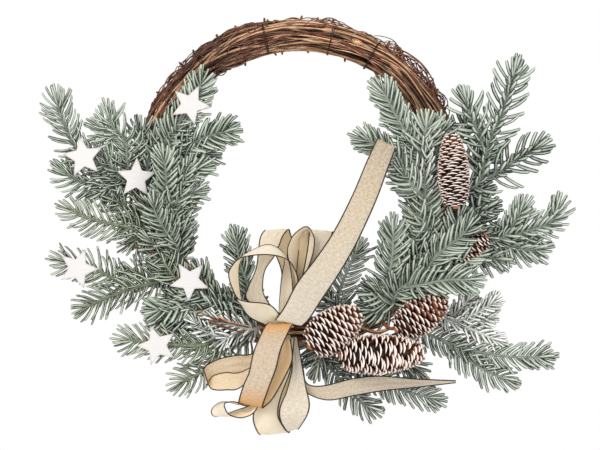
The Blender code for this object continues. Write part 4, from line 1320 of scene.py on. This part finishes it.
    def add_needles(
        self, skin: Skin, dice: Dice, lines: Array, ways: Array, wides: Array, tints: Array, frosts: Array
    ) -> None:
        """Adds all needles of the spray to its surface.

        Args:
            skin: the surface.
            dice: the random numbers.
            lines: middle lines, as (needles, rings, 3).
            ways: directions, as (needles, 3).
            wides: half widths.
            tints: the shade of each needle.
            frosts: how white each needle is.
        """
        facing = TOWARDS_VIEWER + dice.normal(0, 0.22, ways.shape)
        side = unit(np.cross(facing, ways))
        face = np.cross(ways, side)
        turn = (np.arange(self.sides) + 0.5) * math.tau / self.sides
        across = np.cos(turn) / math.cos(math.pi / self.sides)
        spread = (wides[:, None] * np.array(self.widths))[:, :, None, None]
        skew = side[:, None, None] * across[:, None] + face[:, None, None] * np.sin(turn)[:, None] * self.flatness
        marks = {
            "tint": tints[:, None, None],
            "frost": frosts[:, None, None],
            "rim": np.abs(across)[None, None],
            "tip": np.clip(np.array(self.shares) * 1.6 + 0.15, 0, 1)[None, :, None],
            "warm": self.growth.value.warm,
        }
        skin.add(lines[:, :, None] + spread * skew, marks)


# Pine cones


@dataclass
class PineCone:
    """A dried cone: woody scales in spirals round a core, on the stalk that is pushed in."""

    name: str
    base: Point
    tip: Point
    radius: float
    stalk: Path
    scales: int
    columns: float  # of scales round it
    openness: float  # lean of the scales half way up, in degrees from the cone's axis
    untidy: float
    chalk: float  # how much whiter its lips are than usual
    lips: float = 1.0  # how thick its lips are
    fullness: float = 0.6  # the lower, the more barrel shaped
    stalk_radii: tuple[float, float] = (1.9, 1.6)
    # the scar under it: how far up its axis, and the radius there in a cone of 18 mm radius
    scar: tuple[tuple[float, float], ...] = ((2.5, 3.6), (-0.6, 3.1), (-1.4, 1.8))
    core: float = 0.62  # of its radius
    overlap: float = 1.06  # of two scales side by side
    cup: float = 0.22  # how far a scale's sides curl back, against its width

    def outline(self, share: Array) -> Array:
        """The cone's radius.

        Args:
            share: shares of its height.

        Returns:
            The radius at each.
        """
        return self.radius * np.sin(math.pi * (0.13 + 0.83 * np.asarray(share) ** 0.9)) ** self.fullness

    def build(self, seed: int, finish: Material) -> None:
        """Makes the cone as one piece.

        Args:
            seed: of its random numbers.
            finish: the scales' material.
        """
        dice = np.random.default_rng(seed)
        foot, top = np.array(self.base, float), np.array(self.tip, float)
        height = np.linalg.norm(top - foot)
        axis = (top - foot) / height
        skin = Skin()
        # the core inside the scales, painted near black with the same painted shade, so that no light shows between
        # them
        share = np.linspace(0.02, 0.97, 16)
        core = foot + axis * (share * height)[:, None]
        skin.tube(core, self.outline(share) * self.core, 12, {"lip": 0.0, "tint": 0.0, "scar": 0.0})
        stalk = curve_through(np.vstack((foot + axis * height * 0.1, np.array(self.stalk, float))), 6)
        radii = np.linspace(*self.stalk_radii, len(stalk)) * (1 + 0.08 * wander(dice, len(stalk), 9, 0))
        skin.tube(stalk, radii, 8, {"lip": 0.35, "tint": 0.0, "scar": 0.1})
        places, radii = np.array(self.scar).T
        scar = foot + axis * places[:, None]
        skin.tube(scar, radii * self.radius / 18, 10, {"lip": 0.5, "tint": 0.1, "scar": 0.7})
        self.add_scales(skin, dice, foot, axis, height)
        skin.make(self.name + "_scales", finish, "cone", self.name)

    def add_scales(self, skin: Skin, dice: Dice, foot: Array, axis: Array, height: float) -> None:
        """Adds the scales, each a curved plate that thickens to a blunt diamond lip.

        Args:
            skin: the surface.
            dice: the random numbers.
            foot: the middle of the base.
            axis: direction from base to tip.
            height: from base to tip.
        """
        first = unit(np.cross(axis, (0.31, 0.2, 0.93)))
        second = np.cross(axis, first)
        n = self.scales
        share = (np.arange(n) + 0.5) / n
        angle = np.arange(n) * GOLDEN_ANGLE + dice.normal(0, self.untidy, n)
        radius = self.outline(share)
        # the scales at the base lean back and those at the tip close up
        tilt = np.radians(
            np.interp(share, (0, 0.1, 0.5, 0.85, 1), (118, 88, self.openness, self.openness * 0.62, 14))
            + dice.normal(0, 60 * self.untidy, n)
        )
        out = first * np.cos(angle)[:, None] + second * np.sin(angle)[:, None]
        way = out * np.sin(tilt)[:, None] + axis * np.cos(tilt)[:, None]
        length = radius * 0.72 / np.maximum(np.sin(tilt), 0.5)
        lip = foot + axis * (height * (0.02 + 0.98 * share))[:, None] + out * radius[:, None]
        side = unit(np.cross(axis, out))
        face = np.cross(way, side)
        half = math.pi * radius / self.columns * self.overlap
        u, wide, thick, lip_white_and_root_shade = SCALE_RINGS
        thick = thick * 1.05 * self.lips
        # each ring is a blunt diamond across the scale, with its sides curled back
        turn = np.arange(8) * math.tau / 8
        x = np.cos(turn)
        y = np.sin(turn) * np.where(np.abs(np.cos(turn)) > 0.5, 0.75, 1.0)
        size = (radius / self.radius) ** 0.7
        middle = lip[:, None] + way[:, None] * ((u - 1) * length[:, None])[..., None]
        grids = (
            middle[:, :, None]
            + side[:, None, None] * (half[:, None, None] * wide[None, :, None] * x)[..., None]
            + face[:, None, None] * (size[:, None, None] * thick[None, :, None] * y)[..., None]
            - face[:, None, None] * (self.cup * half[:, None, None] * wide[None, :, None] * x**2)[..., None]
        )
        tints = dice.uniform(-0.18, 0.2, n) + self.chalk
        skin.add(grids, {"lip": lip_white_and_root_shade[None, :, None], "tint": tints[:, None, None], "scar": 0.0})


# Each ring of a scale, from root to lip: how far out it is, how wide, how thick and how white; near the root a low
# white means painted shade instead.
SCALE_RINGS = np.array((
    (0.0, 0.35, 0.3, 0.0),
    (0.4, 0.6, 0.35, 0.06),
    (0.66, 0.86, 0.5, 0.2),
    (0.84, 1.0, 0.85, 0.52),
    (0.95, 0.98, 0.92, 0.9),
    (1.0, 0.8, 0.66, 1.0),
    (1.03, 0.42, 0.28, 1.0),
)).T

# Each cone: its name, base, tip, radius and stalk, then how its scales grow.
CONES = (
    PineCone(
        "pine_cone_upright", (165, -46, -26), (161, -46, 52), 16.4, ((165, -26, -28), (160, -6, -30)),
        scales=200, columns=8.6, openness=78, untidy=0.12, chalk=0.3, lips=0.74, fullness=0.5,
    ),
    PineCone(
        "pine_cone_by_bow", (12, -47, -172), (66, -47, -134), 23, ((20, -34, -166), (22, -6, -158)),
        scales=144, columns=10.6, openness=70, untidy=0.07, chalk=0.3, lips=1.1,
    ),
    PineCone(
        "pine_cone_middle", (103, -40, -156), (157, -38, -122), 19.5,
        ((94, -32, -152), (86, -14, -138), (84, -6, -131)),
        scales=140, columns=10.4, openness=66, untidy=0.07, chalk=0.08,
    ),
    PineCone(
        "pine_cone_lowest", (44, -50, -181), (133, -50, -178), 20.5,
        ((50, -34, -176), (56, -14, -160), (58, -5, -150)),
        scales=190, columns=8.8, openness=78, untidy=0.18, chalk=0.56, lips=1.05, fullness=0.5,
    ),
    PineCone(
        "pine_cone_hidden", (198, -27, -56), (163, -28, -90), 13.5,
        ((188, -14, -72), (172, -7, -69), (160, -4, -62)),
        scales=110, columns=9.5, openness=66, untidy=0.08, chalk=0.06,
    ),
)


# Stars


@dataclass
class WoodenStar:
    """A flat star cut from plywood, with softened points and eased rims."""

    name: str
    x: float
    z: float
    point_angle: float  # of one point, in degrees
    radius: float = 22.0
    waist: float = 10.0
    ease: float = 0.55  # rounding of the rims
    cut: float = 1.1  # rounding of the corners
    sharp: float = 32.0  # an edge that turns more than this, in degrees, stays sharp
    back: float = field(init=False)
    front: float = field(init=False)

    def __post_init__(self) -> None:
        """Takes its two faces' places from the frame."""
        low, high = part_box(self.name)
        self.front, self.back = low[1] / MM, high[1] / MM

    def outline(self, grow: float = 0.0) -> Array:
        """The star's outline.

        Args:
            grow: how far each corner is pushed out.

        Returns:
            Its ten corners, as x and z.
        """
        turn = np.radians(self.point_angle + 36 * np.arange(10))
        reach = np.where(np.arange(10) % 2 == 0, self.radius, self.waist) + grow
        return np.stack((self.x + reach * np.cos(turn), self.z + reach * np.sin(turn)), axis=1)

    def build(self, finish: Material) -> None:
        """Makes the star as one piece.

        Args:
            finish: the paint.
        """
        corners = self.outline()
        before, after = np.roll(corners, 1, axis=0), np.roll(corners, -1, axis=0)
        t = np.linspace(0, 1, 5)[:, None]
        line = []
        for corner, last, nxt in zip(corners, before, after):
            start, end = (corner + unit(other - corner) * self.cut for other in (last, nxt))
            line.append((1 - t) ** 2 * start + 2 * t * (1 - t) * corner + t**2 * end)
        edge = np.vstack(line)
        centre = np.array((self.x, self.z))
        inward = np.roll(edge, -1, axis=0) - np.roll(edge, 1, axis=0)
        inward = unit(np.stack((-inward[:, 1], inward[:, 0]), axis=1))
        e = self.ease
        halves = []
        for face, way in ((self.back, -1), (self.front, 1)):  # from its middle over the face and the rim
            half = [(centre + (edge - centre) * s, face, 0.0) for s in (0.02, 0.45, 0.8)]
            for inset, depth in ((e, 0), (0.3 * e, 0.3 * e), (0, e)):
                half.append((edge + inward * inset, face + way * depth, 1.0))
            halves.append(half)
        outlines, depths, rims = zip(*halves[0], *halves[1][::-1])
        grid = np.array([np.insert(outline, 1, y, axis=1) for outline, y in zip(outlines, depths)])
        skin = Skin()
        skin.add(grid[None, :, ::-1], {"rim": np.array(rims)[None, :, None]})
        piece = skin.make(self.name + "_plywood", finish, "star", self.name)
        piece.data.set_sharp_from_angle(angle=math.radians(self.sharp))


# Each star: its name, x, z and the angle of one point.
STARS = (
    WoodenStar("star_top", -113, 82, 66),
    WoodenStar("star_outer", -225.5, 27, 99),
    WoodenStar("star_inner", -170, 5, 88),
    WoodenStar("star_low_inner", -114, -103, 51),
    WoodenStar("star_low_outer", -231, -90, 70),
    WoodenStar("star_bottom", -148, -171, 108),
)


# The bow


@dataclass(frozen=True)
class Look:
    """How dye and painted light show on one strip of the ribbon."""

    # partly painted light: pale tones on shaded and back strips stand in for light coming through the cloth
    tone: float  # how pale, from 0 for khaki to 1 for near white
    wash: float = 0.0  # how golden all over
    # painted gold at the folds, for light through and between the layers
    gold: float = 0.0  # how golden at its folds
    # painted glow on its outside and inside faces, standing in for light coming through the cloth
    outside: float = 0.0  # how much light comes through to its outside
    inside: float = 0.0
    fade: float = 0.0  # how much duller it gets to its end


@dataclass
class RibbonBow:
    """The bow: loops and tails of one wired ribbon, gathered under a band at the knot."""

    width: float = 25.5
    thick: float = 0.35
    cord: float = 0.62  # radius of the cord in each edge
    columns: int = 15
    steps: int = 8
    pleats: float = 2.5
    most_slack: float = 1.7  # of the cloth in a pleat, against its width there
    pleat_depth: float = 2.2
    sags: tuple[float, float] = (0.7, 0.5)  # how far it sags in the middle and twists
    fold: float = 0.03  # the bend, in radians a millimetre, from which a turn counts as a fold
    # painted gold on the loops' inner faces
    inside_painted_gold: float = 0.35  # of the gold at the folds, all over the inside
    apart: float = 40.0  # between two strips' places in the weave
    lengths: list[float] = field(default_factory=list)

    def strip(self, cloth: Skin, cords: Skin, look: Look, edges: Sequence[Path], seed: int) -> None:
        """Adds one loop or tail and the cords in its edges.

        Args:
            cloth: the surface of the ribbon.
            cords: the surface of the edge cords.
            look: how dye and light show on it.
            edges: the two edges' points.
            seed: of its random numbers.
        """
        dice = np.random.default_rng(seed)
        left, right = (curve_through(edge, self.steps) for edge in edges)
        across = right - left
        width = np.linalg.norm(across, axis=1)
        middle = (left + right) / 2
        run = run_of(middle)
        self.lengths.append(float(run[-1]))
        ahead = unit(np.gradient(middle, axis=0))
        normal = unit(np.cross(ahead, unit(across)))
        v = np.linspace(0, 1, self.columns)
        # pleats take up the cloth where it is gathered narrower than it is
        slack = np.clip(self.width / width, 1, self.most_slack)
        swing = np.minimum(width / (math.pi * self.pleats) * np.sqrt(slack - 1), self.pleat_depth)
        swing = smoothed(swing, 3) * (0.2 + 0.8 * np.abs(2 * run / run[-1] - 1) ** 1.5)
        wave = np.sin(math.tau * self.pleats * v + dice.uniform(0, math.tau))
        lift = swing[:, None] * wave * np.sin(math.pi * v) ** 0.5
        sag, twist = (far * wander(dice, len(run), max(4, int(run[-1] / 22)), 4) for far in self.sags)
        lift += sag[:, None] * np.sin(math.pi * v) + twist[:, None] * np.sin(math.tau * v)
        # both faces of the cloth make one closed ring in each row
        surface = left[:, None] + across[:, None] * v[:, None] + normal[:, None] * lift[..., None]
        half = normal[:, None] * self.thick / 2
        ring = np.concatenate((surface + half, (surface - half)[:, ::-1]), axis=1)
        both = np.concatenate((v, v[::-1]))
        weave = np.stack(np.broadcast_arrays(run[:, None], both * self.width, self.apart * seed), axis=-1)
        # the loop's hollow side and the turns at which the cloth is bent, where glow and gold are painted in for
        # light through the cloth
        outward = np.mean(np.sum(normal * (middle - middle.mean(axis=0)), axis=1)) > 0
        hidden = np.repeat((1.0, 0.0) if outward else (0.0, 1.0), self.columns)
        # painted glow share for each face
        painted_light = look.outside + (look.inside - look.outside) * hidden
        bend = np.linalg.norm(np.gradient(ahead, axis=0), axis=1) / np.maximum(np.gradient(run), 0.2)
        painted_fold_gold = smoothed(np.clip((smoothed(bend, 3) - self.fold) / self.fold, 0, 1.0), 5)
        marks = {
            "inner": painted_light[None, None],
            # painted gold at the folds and on the hollow side, over the strip's golden wash
            "fold": (look.wash + look.gold * np.maximum(painted_fold_gold[:, None], self.inside_painted_gold * hidden))[None],
            "tone": (look.tone - look.fade * run / run[-1])[None, :, None],
            "margin": (np.minimum(both, 1 - both) * self.width)[None, None],
        }
        cloth.add(ring[None, :, ::-1], marks, {"weave": weave[None, :, ::-1]})
        for column in (0, -1):
            cords.tube(surface[:, column], self.cord, 7, {}, offset=50.0 * seed)

    def build(self, finish: Material, edging: Material) -> None:
        """Makes the ribbon and its edge cords.

        Args:
            finish: the cloth.
            edging: the cord.
        """
        cloth, cords = Skin(), Skin()
        for seed, (name, (look, *edges)) in enumerate(BOW.items(), 1):
            self.strip(cloth, cords, look, edges, seed)
            LOG.info("%s: %.0f mm of ribbon", name, self.lengths[-1])
        edge = cords.make("bow_edge_cords", edging, "ribbon", "ribbon_bow")
        ribbon = cloth.make("bow_ribbon", finish, "ribbon", "ribbon_bow")


# Each strip's look and its two edges, from the knot and back to it or to the ribbon's cut end.
BOW: dict[str, tuple[Look, Path, Path]] = {
    "round_loop": (
        Look(tone=1.15, gold=0.05, outside=0.25, inside=0.5),
        ((-14, -46, -146), (-29, -60, -128), (-54, -66, -124), (-64, -68, -119), (-72, -69, -98),
         (-68, -69, -86), (-58, -69, -78), (-35, -68, -75), (-16, -62, -78), (-6, -54, -86),
         (0, -49, -103), (-6, -47, -119), (-12, -44, -142)),
        ((-14, -34, -156), (-39, -42, -147), (-53, -46, -138), (-59, -48, -124), (-62, -50, -102),
         (-61, -50, -84), (-53, -49, -74), (-33, -47, -65), (-19, -42, -70), (-14, -36, -81),
         (-17, -32, -98), (-19, -30, -119), (-20, -30, -140)),
    ),
    "left_loop": (
        Look(tone=0.55, wash=0.06, outside=0.15, inside=0.6),
        ((-26, -40, -148), (-53, -41, -123), (-53, -41, -112), (-49, -41, -102), (-44, -41, -90),
         (-42, -41, -77), (-41, -40, -66), (-39, -38, -56), (-34, -34, -50), (-32, -27, -58),
         (-18, -24, -90), (-17, -24, -118), (-20, -26, -142)),
        ((-12, -38, -142), (-26, -40, -132), (-36, -40, -117), (-37, -40, -103), (-34, -40, -90),
         (-25, -40, -77), (-20, -39, -66), (-16, -37, -56), (-10, -33, -49), (-7, -26, -57),
         (3, -23, -88), (4, -23, -116), (-8, -26, -142)),
    ),
    "middle_loop": (
        Look(tone=0.85, wash=0.04, outside=0.3, inside=0.45),
        ((-12, -44, -142), (-6, -50, -118), (-7, -53, -95), (-11, -53, -74), (-9, -51, -63),
         (-3, -51, -53), (9, -50, -46), (16, -49, -55), (17, -49, -64), (15, -50, -76), (10, -51, -90),
         (1, -50, -104), (-8, -44, -140)),
        ((-12, -30, -142), (-5, -30, -118), (-2, -30, -95), (0, -30, -76), (2, -29, -64), (4, -29, -56),
         (9, -28, -52), (12, -28, -58), (13, -28, -68), (11, -29, -80), (7, -30, -94), (2, -30, -108),
         (-6, -30, -140)),
    ),
    "right_loop": (
        Look(tone=0.7, wash=0.06, outside=0.2, inside=0.6),
        ((-6, -42, -140), (4, -45, -100), (10, -44, -70), (12, -38, -49), (12, -29, -58), (6, -25, -95),
         (-6, -26, -138)),
        ((8, -40, -142), (24, -43, -108), (33, -42, -76), (36, -36, -52), (36, -28, -62), (28, -24, -100),
         (6, -26, -140)),
    ),
    "long_tail": (
        Look(tone=0.6, wash=0.06, fade=0.6),
        ((-24, -52, -144), (-14, -55, -130), (-1, -58, -105), (18, -60, -80), (37, -61, -52),
         (57, -61, -13), (71, -60, 20), (83, -58, 46)),
        ((4, -50, -150), (12, -53, -142), (25, -56, -122), (41, -59, -98), (60, -60, -65), (80, -60, -22),
         (92, -59, 10), (102, -57, 37)),
    ),
    "front_loop": (
        Look(tone=0.25, wash=0.14, gold=0.95, inside=1.3),
        ((-30, -38, -152), (-31, -49, -147), (-36, -56, -153), (-46, -59, -176), (-51, -62, -198),
         (-57, -62, -212), (-62, -58, -229), (-60, -50, -231), (-50, -43, -222), (-36, -38, -200),
         (-29, -36, -182), (-24, -36, -164)),
        ((-4, -38, -152), (-5, -50, -148), (-9, -56, -154), (-18, -59, -174), (-23, -62, -194),
         (-29, -62, -210), (-37, -59, -233), (-35, -54, -234), (-26, -49, -225), (-12, -45, -200),
         (-6, -42, -184), (-8, -40, -164)),
    ),
    "curled_loop": (
        Look(tone=1.2, outside=0.15, inside=0.6),
        ((-42, -56, -222), (-52, -58, -233), (-65, -60, -229), (-76, -60, -230), (-76, -60, -236),
         (-72, -60, -242), (-64, -60, -245), (-56, -59, -245), (-46, -57, -240), (-38, -54, -226)),
        ((-46, -47, -219), (-58, -42, -231), (-78, -39, -230), (-87, -38, -234), (-91, -38, -240),
         (-88, -38, -245), (-79, -38, -244), (-65, -38, -239), (-50, -42, -233), (-41, -47, -222)),
    ),
    "side_loop": (
        Look(tone=0.5, wash=0.18, gold=0.15, outside=0.1, inside=0.3),
        ((-20, -40, -160), (-47, -36, -179), (-63, -38, -181), (-80, -40, -184), (-92, -44, -189),
         (-98, -50, -194), (-97, -57, -200), (-92, -64, -213), (-86, -66, -216), (-75, -66, -216),
         (-59, -62, -213), (-28, -46, -185)),
        ((-22, -38, -175), (-47, -35, -200), (-63, -35, -202), (-78, -36, -205), (-88, -38, -208),
         (-94, -40, -211), (-96, -43, -212), (-93, -46, -208), (-88, -47, -202), (-76, -46, -199),
         (-58, -43, -198), (-26, -40, -178)),
    ),
    "low_loop": (
        Look(tone=0.85, wash=0.04, outside=0.35, inside=0.5),
        ((-20, -34, -165), (-30, -38, -200), (-42, -43, -228), (-47, -48, -245), (-44, -46, -258),
         (-39, -38, -264), (-36, -28, -250), (-30, -25, -225), (-22, -25, -190), (-20, -27, -168)),
        ((-4, -34, -163), (-8, -38, -196), (-18, -43, -224), (-21, -48, -243), (-15, -46, -256),
         (-9, -38, -262), (-10, -28, -248), (-6, -25, -222), (-2, -25, -188), (-6, -27, -166)),
    ),
    "drop_loop": (
        Look(tone=0.5, wash=0.03, inside=0.3),
        ((-12, -32, -164), (-6, -34, -190), (-11, -46, -216), (-19, -56, -236), (-18, -57, -249),
         (-11, -50, -260), (-15, -37, -248), (-9, -31, -220), (-6, -28, -190), (-12, -28, -166)),
        ((-1, -32, -162), (4, -34, -192), (8, -46, -213), (12, -56, -231), (9, -57, -244), (0, -50, -258),
         (8, -37, -244), (8, -31, -218), (4, -28, -188), (-4, -28, -164)),
    ),
    "pointed_tail": (
        Look(tone=0.25, wash=0.06),
        ((-8, -28, -160), (2, -28, -180), (5, -30, -200), (11, -34, -212), (28, -38, -213),
         (56, -40, -206), (85, -40, -203), (123, -37, -206), (166, -34, -208)),
        ((-18, -28, -162), (-9, -28, -184), (-3, -30, -206), (8, -34, -220), (31, -38, -228),
         (60, -40, -223), (90, -40, -218), (123, -37, -215), (166, -34, -210)),
    ),
    "middle_loop_back": (
        Look(tone=1.05, wash=0.05, outside=0.7, inside=0.7),
        ((-10, -26, -140), (-9, -27, -118), (-11, -28, -95), (-11, -29, -74), (-6, -32, -58), (4, -40, -49)),
        ((0, -26, -140), (4, -27, -118), (10, -28, -95), (15, -29, -76), (16, -32, -62), (12, -40, -50)),
    ),
}


@dataclass
class Studio:
    """A white room with soft light, a floor of paper, and the camera straight before the wreath."""

    lens: float = 200.0
    picture_width: float = 632.4  # across the picture at the wreath, at 1.054 mm a pixel
    centre: Point = (2.1, -25.0, -44.3)
    sensor: float = 36.0
    sky: float = 1.0  # as bright as the paper, so that the wreath stands on plain white
    drop: float = 1.3  # from the hook to the floor, in metres
    half_floor: float = 6.0  # in metres
    lamps: tuple[tuple[str, Point, float, float, str], ...] = (
        ("key", (-1.5, -2.0, 1.5), 0.9, 42.0, "#FFFBF5"),
        ("fill", (1.6, -2.4, 0.1), 1.6, 16.0, "#F8FAFF"),
    )

    def build(self, paper: Material) -> None:
        """Sets up the studio.

        Args:
            paper: the floor's material.
        """
        scene = bpy.context.scene
        scene.view_settings.view_transform = "Standard"
        x, y, z = self.centre
        aim = Vector((x, y, z - HOOK_SEAT)) * MM
        camera = bpy.data.objects.new("camera", bpy.data.cameras.new("camera"))
        camera.data.lens, camera.data.sensor_width = self.lens, self.sensor
        distance = self.picture_width * MM * self.lens / self.sensor
        camera.location = aim + Vector((0, -distance, 0))
        camera.rotation_euler = (math.pi / 2, 0, 0)
        camera.data.clip_end = 50
        scene.collection.objects.link(camera)
        scene.camera = camera
        self.floor(paper)
        for lamp in self.lamps:
            self.lamp(aim, *lamp)
        world = bpy.data.worlds.new("sky")
        world.use_nodes = True
        background = world.node_tree.nodes["Background"]
        background.inputs["Color"].default_value = linear("#FFFFFF")
        background.inputs["Strength"].default_value = self.sky
        scene.world = world

    def floor(self, paper: Material) -> None:
        """Lays the floor well below the wreath.

        Args:
            paper: its material.
        """
        mesh = bpy.data.meshes.new("floor_paper")
        far = self.half_floor
        corners = [(x, y, -self.drop) for x, y in ((-far, -far), (far, -far), (far, far), (-far, far))]
        mesh.from_pydata(corners, [], [(0, 1, 2, 3)])
        mesh.materials.append(paper)
        sheet = bpy.data.objects.new("floor_paper", mesh)
        bpy.context.scene.collection.objects.link(sheet)
        sheet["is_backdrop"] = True

    @staticmethod
    def lamp(aim: Vector, name: str, spot: Point, size: float, power: float, shade: str) -> None:
        """Adds a soft square lamp.

        Args:
            aim: what it faces.
            name: its name.
            spot: where it stands, in metres.
            size: its side, in metres.
            power: in watts.
            shade: the colour of its light.
        """
        light = bpy.data.lights.new(name, "AREA")
        light.size, light.energy = size, power
        light.color = linear(shade)[:3]
        lamp = bpy.data.objects.new(name, light)
        lamp.location = spot
        lamp.rotation_euler = (aim - lamp.location).to_track_quat("-Z", "Y").to_euler()
        bpy.context.scene.collection.objects.link(lamp)


def main() -> None:
    """Builds the wreath and its studio."""
    logging.basicConfig(level=logging.INFO, format="%(message)s")
    cad_box = [corner.copy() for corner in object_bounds()]
    ring = VineRing()
    ring.build(VineBark().make())
    iron = AnnealedWire().make()
    for number, share in enumerate(WIRE_TURNS, 1):
        BindingWire(number, math.tau * share).build(ring, iron)
    bark = ConeWood().make()
    for seed, cone in enumerate(CONES, CONE_SEED):
        cone.build(seed, bark)
    paint = PaintedPlywood().make()
    for star in STARS:
        star.build(paint)
    RibbonBow().build(SheerRibbon().make(), EdgeCord().make())
    moulded = MouldedNeedle().make()
    neighbours = Neighbours(STARS)
    for seed, (name, (growth, twigs)) in enumerate(SPRAYS.items(), SPRAY_SEED):
        NeedleSpray(name, seed, growth, twigs).build(neighbours, moulded)
    Studio().build(StudioPaper().make())


if __name__ == "__main__":
    main()
